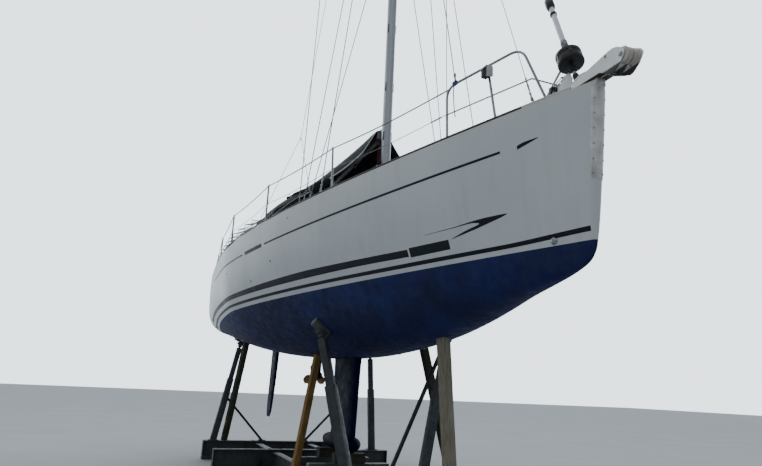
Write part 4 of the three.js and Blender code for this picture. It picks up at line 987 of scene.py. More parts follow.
# Navigation lamps on the pulpit, each a black lens in a pale housing with a cap and a bracket.
# Blocks: shift outboard, lowest and highest corner from there, rounding and material
LAMP_BLOCKS = [(40, (-38, -30, -44), (52, 30, 46), 9, 0), (34, (-46, -34, 42), (56, 34, 56), 4, 1),
               (30, (34, -33, -48), (58, 33, 44), 4, 1)]
LAMP_BLOCKS += [(41, (-34, -33, -34 + 17 * k), (34, 33, -30 + 17 * k), 1, 2) for k in range(5)]
for side, word in SIDES:
    spot = rail_point(10985, side, 520)
    lamp = Shape()
    for out, low, high, edge, slot in LAMP_BLOCKS:
        middle = spot + V(0, side * out, 0)
        lamp.slab(middle + V(*low), middle + V(*high), edge, slot)
    lamp.slab(spot + V(-10, -8, -14), spot + V(10, 8 + side * 12, 14), 2)
    piece(f"navigation_lamp_{word}", lamp, [RUBBER, CREAM, BLACK])

# Halyard made fast at the after corner of the pulpit, with a blue tail round the rail
HALYARD_END = rail_point(10600, -1, 606)
halyard = Shape()
halyard.tube([HALYARD_END, V(7600, 0, 10200)], 5, 8)
halyard.tube([HALYARD_END + V(0, 0, -34), HALYARD_END + V(-8, 0, 60)], 9, 10, 1)
halyard.lathe([(0, -30), (12, -30), (15, -6), (10, 10), (0, 14)], HALYARD_END + V(-14, 0, 92), 14, 1)
for k in range(4):
    ring = ellipse(HALYARD_END + V(-24 + 13 * k, 0, -7), V(0, 19, 0), V(0, 0, 19), 20)
    halyard.tube(ring, 5, 8, 2, closed=True)
piece("spare_halyard", halyard, [ROPE, STEEL, ROPE_BLUE])
tail_path = rounded([HALYARD_END + V(10, -16, -10), HALYARD_END + V(16, -30, -110),
                     HALYARD_END + V(34, -26, -330), HALYARD_END + V(48, -22, -390)], 60, 6)
tail = piece("halyard_tail", Shape().tube(tail_path, 5, 10), ROPE_BLUE)

# Pushpits
for side, word in SIDES:
    frame_shape = Shape()
    top = deck_top(500)
    frame_shape.tube(rounded([
        rail_point(1750, side), rail_point(1700, side, 600), rail_point(620, side, 600),
        V(500, side * 1150, top + 600), V(500, side * 520, top + 600),
        V(520, side * 500, deck_top(520, 500))], 140, 9), RAIL_TUBE, 16)
    frame_shape.tube(rounded([
        rail_point(1725, side, 310), rail_point(620, side, 310), V(500, side * 1150, top + 310),
        V(505, side * 510, top + 310)], 140, 9), 10.5, 14)
    frame_shape.tube([rail_point(700, side), rail_point(700, side, 600)], RAIL_TUBE, 16)
    for base in (rail_point(1750, side), rail_point(700, side), V(520, side * 500, deck_top(520, 500))):
        tube_base(frame_shape, base)
    piece(f"pushpit_{word}_frame", frame_shape, STEEL, replaces=[f"pushpit_{word}"])

# Guard rails: posts with bases, and two wires each side
STANCHION_X = [8720, 6950, 5150, 3350]
LEANING_X = 8720
POST_TOP = 596
# Each wire: height at the posts, radius, then place and height on the pulpit and on the pushpit
GUARD_WIRES = ((585, 7, (10523, 559), (1668, 565)), (310, 3.6, (10500, 305), (1724, 305)))


def post_point(x, side, lift, inset=95):
    """A place on a guard-rail post; the forward post leans aft."""
    lean = 78 * lift / POST_TOP if x == LEANING_X else 0
    return rail_point(x, side, lift, inset) - V(lean, 0, 0)


for side, word in SIDES:
    guard = Shape()
    for x in STANCHION_X:
        guard.tube([rail_point(x, side), post_point(x, side, POST_TOP)], RAIL_TUBE, 16)
        guard.lathe([(RAIL_TUBE, 0), (13, 4), (9, 8), (0, 9)], post_point(x, side, POST_TOP), 16)
        base = rail_point(x, side)
        guard.slab(base + V(-42, -30, -1), base + V(42, 30, 6), 2)
        guard.knob([(22, 4), (19, 12), (17, 60), (16, 64)], base, 20)
        for lift, *_ in GUARD_WIRES:
            guard.knob([(8, -17), (10, 0), (8, 17)], post_point(x, side, lift), 14, axis=(1, 0, 0))
    for lift, radius, front, back in GUARD_WIRES:
        ends = [rail_point(front[0], side, front[1])] + [post_point(x, side, lift, 92) for x in STANCHION_X]
        ends.append(rail_point(back[0], side, back[1]))
        run = []
        for a, b in zip(ends, ends[1:]):
            run += [a.lerp(b, t) - V(0, 0, 22 * math.sin(math.pi * t) * (a - b).length / 1800)
                    for t in evenly(0, 1, 8)[:-1]]
        run.append(ends[-1])
        guard.tube(run, radius, 8, 1)
        for a, b in ((run[0], run[1]), (run[-1], run[-2])):
            guard.tube([a.lerp(b, 0.3), b.lerp(a, 0.1)], 8, 12)
    piece(f"guard_rail_{word}_posts", guard, [STEEL, WIRE], replaces=[f"guard_rail_{word}"])

# Mast
MAST_X = 7500
MASTHEAD = 15400
HOUNDS = 13350
BOOM_HEIGHT = 2620
PIVOT_X = 7330


def mast_ring(z, scale):
    """An oval with a flat after face and the groove of the sail track."""
    deep, broad = 100 * scale, 65 * scale
    flat = -deep * 0.93
    ring = []
    for turn in circle(48):
        x, y = deep * math.cos(turn), broad * math.sin(turn)
        if x < flat:
            x = flat - (3 if abs(y) > broad * 0.12 else -14)
        ring.append(V(MAST_X + x, y, z))
    return ring


mast = Shape()
levels = [(1250 + 1125 * k, 1) for k in range(11)] + [(13500, 0.905), (14500, 0.81), (MASTHEAD, 0.72)]
mast.loft([mast_ring(z, s) for z, s in levels])
for z in (BOOM_HEIGHT - 65, BOOM_HEIGHT + 65):
    mast.slab((PIVOT_X - 35, -28, z - 10), (MAST_X - 60, 28, z + 10), 3, 1)
mast.slab((MAST_X - 104, -44, BOOM_HEIGHT - 130), (MAST_X - 80, 44, BOOM_HEIGHT + 130), 5, 1)
mast.lathe([(0, -72), (12, -72), (12, 72), (16, 74), (0, 80)], (PIVOT_X, 0, BOOM_HEIGHT), 16, 1)
mast.plate(moved(MAST_X, MASTHEAD, [(-320, -58), (-316, -14), (230, -10), (260, -28), (250, -60)]),
           -13, 13, 1)
mast.plate(moved(MAST_X, HOUNDS, [(40, -60), (40, 60), (150, 45), (190, 0), (180, -60)]), -11, 11, 1)
mast.knob([(112, -40), (118, -28), (112, 30), (96, 44)], (MAST_X, 0, 1420), 40, 2)
for z, y in ((2050, 1), (2050, -1), (1830, 1), (1830, -1)):
    mast.slab((MAST_X - 30, y * 62 - 8, z - 60), (MAST_X + 30, y * 62 + 8, z + 60), 4, 1)
for side in (1, -1):
    mast.lathe([(0, 0), (52, 0), (52, 8), (36, 20), (34, 62), (44, 84), (44, 96), (0, 98)],
               (MAST_X, side * 62, 1990), 24, 1, axis=(0, side, 0))
for z in (2500, 3300, 4300, 5600, 8200):
    for side in (1, -1):
        mast.slab((MAST_X + 10, side * 63 - 5, z - 70), (MAST_X + 42, side * 63 + 5, z + 70), 3, 3)
piece("mast_section", mast, [ALLOY, STEEL, RUBBER, BLACK], replaces=["mast"], smooth=30)


# Spreaders
def spreader_tip(side, height, reach, back):
    return V(MAST_X - 90 - back, side * reach, height + 60)


# Spreaders: name, height, reach and sweep
SPREADERS = [("lower", 6750, 1060, 170), ("upper", 10300, 780, 120)]
for level_name, height, reach, back in SPREADERS:
    for side, word in SIDES:
        tip = spreader_tip(side, height, reach - 14, back)
        root = V(MAST_X - 30, side * 58, height + 4)
        along = tip - root
        arm = Shape().loft([ellipse(root + along * t, V(38 - 12 * t, 0, 0), V(0, 0, 14 - 4 * t), 20)
                            for t in evenly(0, 1, 8)])
        arm.slab(root + V(-46, -10, -26), root + V(46, 14 * side + 10, 26), 5, 1)
        arm.lathe([(0, -16), (12, -14), (17, 0), (12, 12), (0, 14)], tip, 16, 2, axis=along)
        piece(f"{level_name}_spreader_{word}_arm", arm, [ALLOY, STEEL, RUBBER],
              replaces=[f"{level_name}_spreader_{word}"])


# Stays and shrouds
def on_way(start, end, distance):
    """The place at a distance from the start towards the end."""
    return start + (end - start).normalized() * distance


def wire(shape, points, radius=6.0):
    shape.tube(points, radius, 10, 1)


def rigging_screw(shape, foot, toward, length=290, radius=13):
    """A fork and toggle at the foot, the screw's body, and the swaged end of the wire."""
    way = (toward - foot).normalized()
    shape.knob([(9, 20), (9, 96), (radius, 100), (radius, 106), (radius * 0.72, 112), (radius * 0.72, 190),
                (radius, 196), (radius, 204), (8, 208), (8, 250), (9, 252), (9, length), (5, length + 10)],
               foot, 16, axis=way)
    across = way.cross(V(1, 0, 0)).normalized()
    for offset in (-9, 9):
        shape.beam(foot + way * 4 + across * offset, foot + way * 52 + across * offset, 5, 20, 1.5, 0,
                   (1, 0, 0))
    shape.pin(6, -16, 16, foot + way * 20, 12, axis=across)


CHAIN_X, CHAIN_Y, CHAIN_Z = 7220, 1180, 1130
for side, word in SIDES:
    for name, foot, rest in (
            ("cap_shroud", V(CHAIN_X, side * CHAIN_Y, CHAIN_Z),
             [spreader_tip(side, height, reach + 2, back) for _, height, reach, back in SPREADERS]
             + [V(MAST_X - 10, side * 60, HOUNDS)]),
            ("lower_shroud", V(CHAIN_X + 180, side * (CHAIN_Y - 60), CHAIN_Z),
             [V(MAST_X - 10, side * 60, 6670)]),
            ("intermediate_shroud", V(CHAIN_X + 90, side * (CHAIN_Y - 25), CHAIN_Z),
             [V(MAST_X + 20, side * 58, 11200)])):
        stay = Shape()
        wire(stay, [on_way(foot, rest[0], 260), *rest])
        rigging_screw(stay, foot + V(0, 0, 50), rest[0])
        stay.slab(foot + V(-26, -5, -70), foot + V(26, 5, 62), 3)
        stay.slab(foot + V(-48, -22, 20), foot + V(48, 22, 30), 2)
        stay.tube([rest[-1], on_way(rest[-1], [foot, *rest][-2], 120)], 8, 12)
        piece(f"{name}_{word}_wire", stay, [STEEL, WIRE], replaces=[f"{name}_{word}"])

for side, word in SIDES:
    stay = Shape()
    foot = V(8400, side * 1200, deck_top(8400, 1200) - 4)
    top = V(MAST_X - 20, side * 60, 11200)
    wire(stay, [on_way(foot, top, 260), top])
    rigging_screw(stay, foot + V(0, 0, 4), top)
    stay.slab(foot + V(-44, -24, 2), foot + V(44, 24, 12), 3)
    piece(f"forward_shroud_{word}_wire", stay, [STEEL, WIRE])
spare = Shape()
spare_foot = V(11290, -70, deck_top(11290, 70) - 2)
spare_top = V(7600, 0, 11200)
wire(spare, [on_way(spare_foot, spare_top, 300), spare_top], 3.6)
rigging_screw(spare, on_way(spare_foot, spare_top, 200), spare_top, 300, 12)
wire(spare, [spare_foot, on_way(spare_foot, spare_top, 240)], 3)
spare.lathe([(0, 0), (26, 0), (26, 5), (10, 12), (8, 30), (0, 34)], spare_foot, 20)
piece("spare_stay_wire", spare, [STEEL, WIRE])

back = Shape()
back_top, split = V(MAST_X - 300, 0, MASTHEAD - 60), V(1750, 0, 4700)
wire(back, [back_top, split])
back.plate([(1705, 4640), (1722, 4760), (1778, 4760), (1795, 4640)], -4, 4)
back.tube([back_top, on_way(back_top, split, 150)], 9, 12)
for side in (1, -1):
    foot = V(560, side * 1240, deck_top(560, 1240) - 10)
    wire(back, [split + V(10, side * 12, -20), on_way(foot, split, 280)])
    rigging_screw(back, foot + V(0, 0, 4), split)
    back.slab(foot + V(-40, -30, 6), foot + V(40, 30, 14), 2)
piece("backstay_wire", back, [STEEL, WIRE], replaces=["backstay"])

# Forestay, furling drum and foil
STAY_FOOT = V(11760, 0, 1290)
STAY_WAY = V(-1, 0, 2.81).normalized()
STAY_LENGTH = (11760 - (MAST_X + 150)) / -STAY_WAY.x
ACROSS = V(0, 1, 0)
SQUARE = STAY_WAY.cross(ACROSS)


def along_stay(distance):
    return STAY_FOOT + STAY_WAY * distance


screw_shape = Shape()
screw_shape.lathe([(0, 58), (15, 60), (15, 128), (22, 132), (22, 150), (14, 156), (14, 200), (22, 206),
                   (22, 220), (15, 224), (15, 250), (10, 254), (10, 418), (0, 420)], STAY_FOOT, 20,
                  axis=STAY_WAY)
for offset in (-1, 1):
    screw_shape.beam(along_stay(44) + V(0, 17 * offset, 0), along_stay(128) + V(0, 15 * offset, 0), 30, 6, 2,
                     0, (0, 1, 0))
screw_shape.pin(10, -27, 27, along_stay(66), 16, axis=(0, 1, 0))
screw_shape.knob([(24, 186), (33, 194), (33, 224), (24, 232)], STAY_FOOT, 24, 1, axis=STAY_WAY)
screw_shape.lathe([(0, 96), (24, 96), (27, 104), (27, 138), (0, 142)], STAY_FOOT, 24, 1, axis=STAY_WAY)
piece("forestay_rigging_screw", screw_shape, [STEEL, BLACK], replaces=["forestay_screw"])
head = Shape()
head.tube([along_stay(STAY_LENGTH - 262), along_stay(STAY_LENGTH - 30)], 8.5, 16)
head.pin(14, -20, 20, along_stay(STAY_LENGTH - 44), 16, axis=(0, 1, 0))
piece("forestay_eye", head, STEEL, replaces=["forestay_head"])
tack = Shape()
tack.plate([(11500, 1228), (11471, 1356), (11512, 1420), (11562, 1482), (11636, 1486), (11674, 1412),
            (11660, 1314), (11668, 1228)], -4, 4, 0, 1.5)
for dy in (-10, 10):
    tack.tube([V(11554, dy, 1480), V(11432, dy, 1436)], 4.5, 10, 1)
tack.lathe([(0, -14), (9, -13), (9, 13), (0, 14)], V(11552, 0, 1478), 14, 1, axis=(0, 1, 0))
tack.slab((11386, -24, 1384), (11436, 24, 1452), 7, 2)
tack.tube(rounded([V(11440, -12, 1400), V(11448, -24, 1346), V(11404, -34, 1318), V(11362, -34, 1340),
                   V(11366, -28, 1388)], 26, 6), 6, 12, 1)
tack.tube([V(11404, -34, 1318), V(11404, -34, 1232)], 4, 10, 1)
piece("tack_plate", tack, [PLATE, STEEL, BLACK])
drum = Shape()
drum.lathe([(11.5, 262), (96, 262), (108, 267), (111, 274), (110, 300), (104, 306), (103, 350), (109, 356),
            (109, 384), (101, 393), (62, 397), (46, 408), (42, 446), (36, 470), (30, 500), (11.5, 500)],
           STAY_FOOT, 48, axis=STAY_WAY)
for turn in circle(5):
    offset = ACROSS * math.cos(turn + 0.4) + SQUARE * math.sin(turn + 0.4)
    drum.beam(along_stay(300) + offset * 104, along_stay(352) + offset * 104, 26, 8, 2, 0, offset)
    drum.bolt(along_stay(394) + offset * 84, STAY_WAY, 7, 4, 1)
drum.loft([ellipse(along_stay(d), ACROSS * 20, SQUARE * 26, 20) for d in evenly(480, STAY_LENGTH - 190, 40)],
          2)
for k in range(1, 6):
    drum.knob([(23, -60), (25, -56), (25, 56), (23, 60)], along_stay(500 + 1900 * k), 20, 2, axis=STAY_WAY)
drum.knob([(34, -60), (40, -40), (40, 40), (30, 60)], along_stay(1049), 24, axis=STAY_WAY)
drum.knob([(30, -13), (32, 0), (30, 13)], along_stay(905), 24, axis=STAY_WAY)
drum.knob([(30, -16), (31, 0), (30, 16)], along_stay(530), 24, 1, axis=STAY_WAY)
piece("furling_gear", drum, [BLACK, STEEL, FOIL], body="headsail_furler",
      replaces=["headsail_furler"])

# Boom
boom = Shape()
BOOM_FRONT, BOOM_AFT = PIVOT_X - 75, 2300
boom.loft([ellipse(V(x, 0, BOOM_HEIGHT), V(0, 57.8 * scale, 0), V(0, 0, 91.5 * scale), 36)
           for x, scale in ((BOOM_FRONT, 0.94), (BOOM_FRONT - 4, 1), (BOOM_FRONT - 300, 1),
                            ((BOOM_FRONT + BOOM_AFT) / 2, 1), (BOOM_AFT + 4, 1), (BOOM_AFT, 0.94))])
boom.slab((PIVOT_X - 95, -20, BOOM_HEIGHT - 44), (PIVOT_X - 10, 20, BOOM_HEIGHT + 44), 4, 1)
boom.lathe([(13, -44), (25, -44), (26, -40), (26, 40), (25, 44), (13, 44)], (PIVOT_X, 0, BOOM_HEIGHT), 28, 1)
for x in (6100, 4700, 3300):
    boom.slab((x - 50, -16, BOOM_HEIGHT - 122), (x + 50, 16, BOOM_HEIGHT - 80), 4, 1)
boom.knob([(54, -8), (58, 0), (54, 8)], (2296, 0, BOOM_HEIGHT), 32, 2, axis=(1, 0, 0))
piece("boom_section", boom, [ALLOY, STEEL, BLACK], body="boom", replaces=["boom"])

# Winter cover. Shares of its half-width: darker purple-black cloth colour on the hanging sides beyond
# HANGING, hem tape in front within TAPED.
# The darker colour ends at SIDE_FRONT of its length, the hem tape begins at TAPE_LINE.
random.seed(7)
CREST = BOOM_HEIGHT + 95 * math.cos(math.pi / 12)
FRONT, AFT = 7290, 1950
HEM = 1238
SLANT = 0.16
HANGING, TAPED, SIDE_FRONT, TAPE_LINE = 0.72, 0.6, 0.91, 0.9965
folds = [(random.uniform(0.3, 1), random.uniform(0, 6.28), random.uniform(3, 9)) for _ in range(7)]
shoulder_drop = smooth_line([(1950, 220), (4600, 200), (6400, 110), (7290, 70)])
# How far the front edge is drawn down inside the outline, by distance from the middle
front_tuck = smooth_line([(0, 0), (60, 4), (120, 50), (300, 185), (500, 195), (700, 172), (1200, 160),
                          (1500, 60)])


@functools.lru_cache(maxsize=None)
def cover_lines(x):
    """Half-breadth and height over the share of the half-width, at one X."""
    shoulder = 1230 + shoulder_drop(x)
    narrow = 52 * clamp((3000 - x) / 300)
    half_height = (CREST + shoulder) / 2 - 34
    return (smooth_line([(0, 36), (0.42, 750 - narrow / 2), (0.80, 1462 - narrow), (0.86, 1486 - narrow),
                         (1, 1494 - narrow)]),
            smooth_line([(0, CREST + 8), (0.42, half_height), (0.80, shoulder + 22), (0.86, shoulder - 34),
                         (1, HEM)]))


def cover_point(s, v, offset=0.0):
    """s runs from 0 at the after end to 1 in front, v from -1 at the starboard hem to 1 at the port hem."""
    side = 1 if v >= 0 else -1
    a = abs(v)
    along = AFT + (FRONT - AFT) * s
    width_line, height_line = cover_lines(round(along, 3))
    y, z = width_line(a), height_line(a)
    z -= front_tuck(y) * clamp((along - 6930) / 360) ** 1.7 * (0.3 if v > 0 else 1)
    ripple = sum(weight * math.sin(rate * 2.1 * s * 6.28 + phase + side * a * 2.2)
                 for weight, phase, rate in folds)
    ripple *= 7 * a ** 0.6 * (1 - 0.4 * a)
    sag = 20 * math.sin(math.pi * clamp(a / 0.8)) * (1 - math.cos(s * 6.28 * 6)) / 2
    tug = 14 * math.sin(s * 47) * a ** 4
    slope = clamp((a - 0.76) / 0.12)
    normal = V(0, side * (0.72 + 0.28 * slope), 0.7 * (1 - slope))
    return V(along - SLANT * y * s, side * y, z) + normal * (offset + ripple + tug - sag)


def off_middle(j):
    """How far a column of the cover is from its middle, as a share of the half-width."""
    return abs(2 * j / COVER_WIDE - 1)


COVER_LONG, COVER_WIDE = 120, 80
cover = Shape()
lengths = [i / (COVER_LONG - 1) * TAPE_LINE for i in range(COVER_LONG)] + [1.0]
grids = [[[cover_point(s, -1 + 2 * j / COVER_WIDE, offset) for j in range(COVER_WIDE + 1)] for s in lengths]
         for offset in (6, 0)]
width = COVER_WIDE + 1
cover.verts = [p for grid in grids for row in grid for p in row]
inner_base = (COVER_LONG + 1) * width
for i in range(COVER_LONG):
    for j in range(COVER_WIDE):
        a = i * width + j
        b = a + inner_base
        cover.faces += [[a, a + 1, a + 1 + width, a + width], [b + width, b + 1 + width, b + 1, b]]
        front_row = i == COVER_LONG - 1
        share = off_middle(j + 0.5)
        outside = 2 if front_row and share < TAPED else 3 if front_row else 0
        if share > HANGING and i < SIDE_FRONT * COVER_LONG:
            outside = 3
        cover.slots += [outside, 1]
edge = [(i, 0) for i in range(COVER_LONG)] + [(COVER_LONG, j) for j in range(COVER_WIDE)]
edge += [(i, COVER_WIDE) for i in range(COVER_LONG, 0, -1)] + [(0, j) for j in range(COVER_WIDE, 0, -1)]
for (i0, j0), (i1, j1) in zip(edge, edge[1:] + edge[:1]):
    a, b = i0 * width + j0, i1 * width + j1
    cover.faces.append([a, b, b + inner_base, a + inner_base])
    cover.slots.append(2 if i0 == i1 and off_middle(j0) < TAPED else 3)
cover_piece = piece("winter_cover", cover, [CLOTH, CLOTH_IN, HEM_TAPE, CLOTH_DARK],
                    replaces=["winter_tent"], smooth=80, body=None)
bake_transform(cover_piece)

# Front corners of the cover, gathered into a roll and tied at the shrouds. ROLL: X, Y, Z and radius
ROLL = [(7288, 770, 1775, 26), (7250, 850, 1700, 54), (7160, 930, 1650, 62), (7100, 980, 1625, 44),
        (7010, 1050, 1600, 60), (6900, 1130, 1575, 66), (6825, 1180, 1552, 42), (6765, 1225, 1528, 58)]
ROLL_PARTS = 54
roll_x, roll_y, roll_z, roll_radius = (
    smooth_line([(k, row[n]) for k, row in enumerate(ROLL)]) for n in range(4))


def out_and_up(run):
    """Two directions square to a run that is nearly level."""
    out = run.cross(UP).normalized()
    return out, out.cross(run)


for side, word in SIDES:
    places = evenly(0, len(ROLL) - 1, ROLL_PARTS)
    centres = [V(roll_x(t), side * roll_y(t), roll_z(t)) for t in places]
    rings = []
    for k, (t, centre) in enumerate(zip(places, centres)):
        out, rise = out_and_up((centres[min(k + 1, ROLL_PARTS)] - centres[max(k - 1, 0)]).normalized())
        ring = []
        for turn in circle(28):
            lump = 1 + 0.13 * math.sin(3 * turn + 0.9 * t) + 0.09 * math.sin(7 * turn - 2.3 * t)
            lump += 0.05 * math.sin(5 * t)
            way = out * math.cos(turn) + rise * math.sin(turn) * 0.92
            ring.append(centre + way * roll_radius(t) * lump)
        rings.append(ring)
    piece(f"cover_roll_{word}", Shape().loft(rings), CLOTH, smooth=70)
    ties = Shape()
    for x, y, z, radius in (ROLL[3], ROLL[6]):
        tie = V(x, side * y, z)
        run = V(-0.72, side * 0.62, -0.28).normalized()
        out, rise = out_and_up(run)
        for shift in (-8, 3, 14):
            ring = ellipse(tie + run * shift, out * (radius + 5), rise * (radius + 5), 24)
            ties.tube(ring, 4.5, 8, closed=True)
        low = rail_point(x - 30, side, 34, 60)
        ties.tube(rounded([tie + V(0, side * (radius + 6), -6), (tie + low) / 2 + V(0, side * 40, 0), low],
                          80, 5),
                  4, 8)
        ties.tube([tie + V(10, side * (radius + 4), 8), tie + V(70, side * (radius + 40), 34)], 5, 8)
    piece(f"cover_ties_{word}", ties, ROPE)

# Inner flap of the cover, beside the mast under the boom
FLAP_TOP, FLAP_FOOT = 2540, 1480
rings = []
for k, z in enumerate(evenly(FLAP_TOP, FLAP_FOOT, 30)):
    row = []
    for j in range(13):
        y = -52 + 76 * j / 12 + 5 * math.sin(k * 0.5) - 54 * clamp((z - FLAP_TOP + 50) / 50)
        row.append(V(7300 + 7 * math.sin(j * 1.1 + k * 0.22) + 3 * math.sin(k * 0.6), y, z))
    rings.append(row + [p - V(4, 0, 0) for p in row[::-1]])
piece("cover_inner_flap", Shape().loft(rings), MAROON, smooth=70)

# Lashings between the cover's shoulder and the toe rail
SHOULDER_BREADTH = 1480
SHOULDER_SHARE = 0.795
for side, word in SIDES:
    lashing = Shape()
    run = []
    for k in range(12):
        rail_x = 6560 - 330 * k
        share = (max(rail_x - 560, 2000) - AFT) / (FRONT - AFT)
        run.append(rail_point(rail_x, side, 168, 40))
        run.append(cover_point(share + SLANT * SHOULDER_BREADTH * share / (FRONT - AFT),
                               side * SHOULDER_SHARE, 12))
    for a, b in zip(run, run[1:]):
        middle = (a + b) / 2 - V(0, 0, 16)
        lashing.tube([a, (a + middle) / 2 - V(0, 0, 4), middle, (b + middle) / 2 - V(0, 0, 4), b], 6.5, 8)
    for spot in run[::2]:
        lashing.tube([spot, spot - V(0, 0, 156)], 4, 8)
    piece(f"lashing_{word}", lashing, ROPE)

# Wheel, pedestal and winches
WHEEL = V(1500, 0, 1330)
WHEEL_RADIUS = 440
rim = Shape()
rim.tube(ellipse(WHEEL, V(0, WHEEL_RADIUS, 0), V(0, 0, WHEEL_RADIUS), 72), 13, 14, 1, closed=True)
rim.lathe([(15, -35), (40, -35), (48, -28), (48, 28), (40, 35), (15, 35)], WHEEL, 36, axis=(1, 0, 0))
for turn in circle(6):
    way = V(0, math.cos(turn), math.sin(turn))
    rim.tube([WHEEL + way * 40, WHEEL + way * (WHEEL_RADIUS - 8)], 8, 12)
piece("wheel_rim", rim, [STEEL, RUBBER], body="steering_wheel", replaces=["steering_wheel"])
post = Shape()
post.knob([(130, 0), (130, 10), (98, 22), (88, 300), (78, 720), (76, 920)], (1690, 0, 480.5), 36)
post.lathe([(0, 0), (84, 0), (86, 20), (80, 80), (60, 108), (0, 112)], (1690, 0, 1408), 36)
post.tube([V(1690, 0, 1330), V(1470, 0, 1330)], 14, 20, 1)
post.tube(rounded([V(1640, -150, 484), V(1640, -150, 1500), V(1640, 150, 1500), V(1640, 150, 484)], 60, 8),
          RAIL_TUBE, 16, 1)
piece("pedestal_column", post, [WHITE, STEEL], replaces=["pedestal"])
for side, word in SIDES:
    winch = Shape()
    winch.knob([(68, 0.3), (68, 10), (62, 14), (47, 28), (42, 44), (40, 84), (46, 96), (58, 104), (60, 112),
                (52, 116), (58, 122), (58, 130), (40, 132)], (2800, side * 1065, 1300), 40)
    for spot in ellipse(V(2800, side * 1065, 1334), V(43, 0, 0), V(0, 43, 0), 20):
        winch.tube([spot, spot + V(0, 0, 52)], 1.8, 6)
    piece(f"winch_{word}_drum", winch, STEEL, body=f"winch_{word}",
          replaces=[f"winch_{word}"])

# Cradle
BEAM_TOP = -2250
GROUND = -2600
CROSS_BEAMS = ((2400, 1600), (4050, 1600), (8040, 1300))
LONG_BEAM_Y = 520
base = Shape()


def girder(shape, start, end, top, height, width, web=12, flange=16):
    """An I-shaped beam lying level."""
    start, end = Vector(start), Vector(end)
    low = top - height
    for z0, z1 in ((top - flange, top), (low, low + flange)):
        shape.beam(V(start.x, start.y, (z0 + z1) / 2), V(end.x, end.y, (z0 + z1) / 2), width, flange, 2.5)
    shape.beam(V(start.x, start.y, (top + low) / 2), V(end.x, end.y, (top + low) / 2), web,
               height - 2 * flange, 0)


for x, reach in CROSS_BEAMS:
    girder(base, (x, -reach, 0), (x, reach, 0), BEAM_TOP, 300, 180)
    for y in (-reach + 8, -reach / 2, 0, reach / 2, reach - 8):
        base.slab((x - 84, y - 5, BEAM_TOP - 284), (x + 84, y + 5, BEAM_TOP - 16), 0)
for side in (1, -1):
    girder(base, (2490, side * LONG_BEAM_Y, 0), (7950, side * LONG_BEAM_Y, 0), BEAM_TOP - 40, 220, 130)
for x in (5750, 6550):
    base.slab((x - 90, -600, BEAM_TOP - 240), (x + 90, 600, BEAM_TOP + 60), 5)
for x, reach in ((2400, 1450), (8040, 1150)):
    for side in (1, -1):
        base.slab((x - 110, side * reach - 150, GROUND), (x + 110, side * reach + 150, BEAM_TOP - 290), 5, 1)
        for dx in (-80, 80):
            base.bolt(V(x + dx, side * (reach + 90), BEAM_TOP - 16), UP, 14, 10, 1)
for x, _ in CROSS_BEAMS:
    for y in (LONG_BEAM_Y - 95, LONG_BEAM_Y + 95, -LONG_BEAM_Y - 95, -LONG_BEAM_Y + 95):
        for dx in (60, -60):
            base.bolt(V(x + dx, y, BEAM_TOP), UP, 13, 10, 1)
piece("cradle_girders", base, [GALVANISED, PAD], replaces=["cradle_base"])

# Posts: name, foot X and Y, pad X, Y and Z, width, half sizes of the pad
POSTS = [
    ("cradle_post_aft_starboard", 2400, -1410, 2400, -1050, -325, 120, 150, 120),
    ("cradle_post_aft_port", 2400, 1410, 2400, 1050, -325, 120, 150, 120),
    ("cradle_post_middle_port", 4000, 1330, 4250, 1120, -470, 110, 150, 120),
    ("cradle_post_forward_starboard", 8040, -500, 7700, -870, -425, 130, 124, 100),
    ("cradle_post_forward_port", 8040, 450, 8000, 800, -435, 110, 150, 120),
]
# Braces from a post down to the base: head and foot
BRACE_Z = BEAM_TOP + 6
BRACES = {
    "cradle_post_aft_starboard": (V(2400, -1250, -1401), V(2400, -443, BRACE_Z)),
    "cradle_post_aft_port": (V(2400, 1250, -1401), V(2400, 443, BRACE_Z)),
    "cradle_post_forward_port": (V(8005, 750, -540), V(8040, -30, BRACE_Z)),
}


def hull_height(x, y):
    """Height of the hull's underside at a place."""
    low, high = bottom_z(x), 300
    for _ in range(24):
        middle = (low + high) / 2
        if hull_y(x, middle) < abs(y):
            low = middle
        else:
            high = middle
    return low


def pad_under_hull(shape, x, y, half_x, half_y, columns=9, rows=7, thick=40):
    """A plate that follows the hull from below."""
    tops = [V(px, py, hull_height(px, py) - 1.5) for px in evenly(x - half_x, x + half_x, columns - 1)
            for py in evenly(y - half_y, y + half_y, rows - 1)]
    under = columns * rows
    faces = []
    for i in range(columns - 1):
        for a in range(i * rows, i * rows + rows - 1):
            faces += [(a, a + 1, a + 1 + rows, a + rows),
                      (a + under + rows, a + under + rows + 1, a + under + 1, a + under)]
    border = [i * rows for i in range(columns)] + list(range(under - rows + 1, under))
    border += [i * rows + rows - 1 for i in range(columns - 2, -1, -1)] + list(range(rows - 2, 0, -1))
    faces += [(a, b, b + under, a + under) for a, b in zip(border, border[1:] + border[:1])]
    shape.add(tops + [top - V(0, 0, thick) for top in tops], faces, 1)


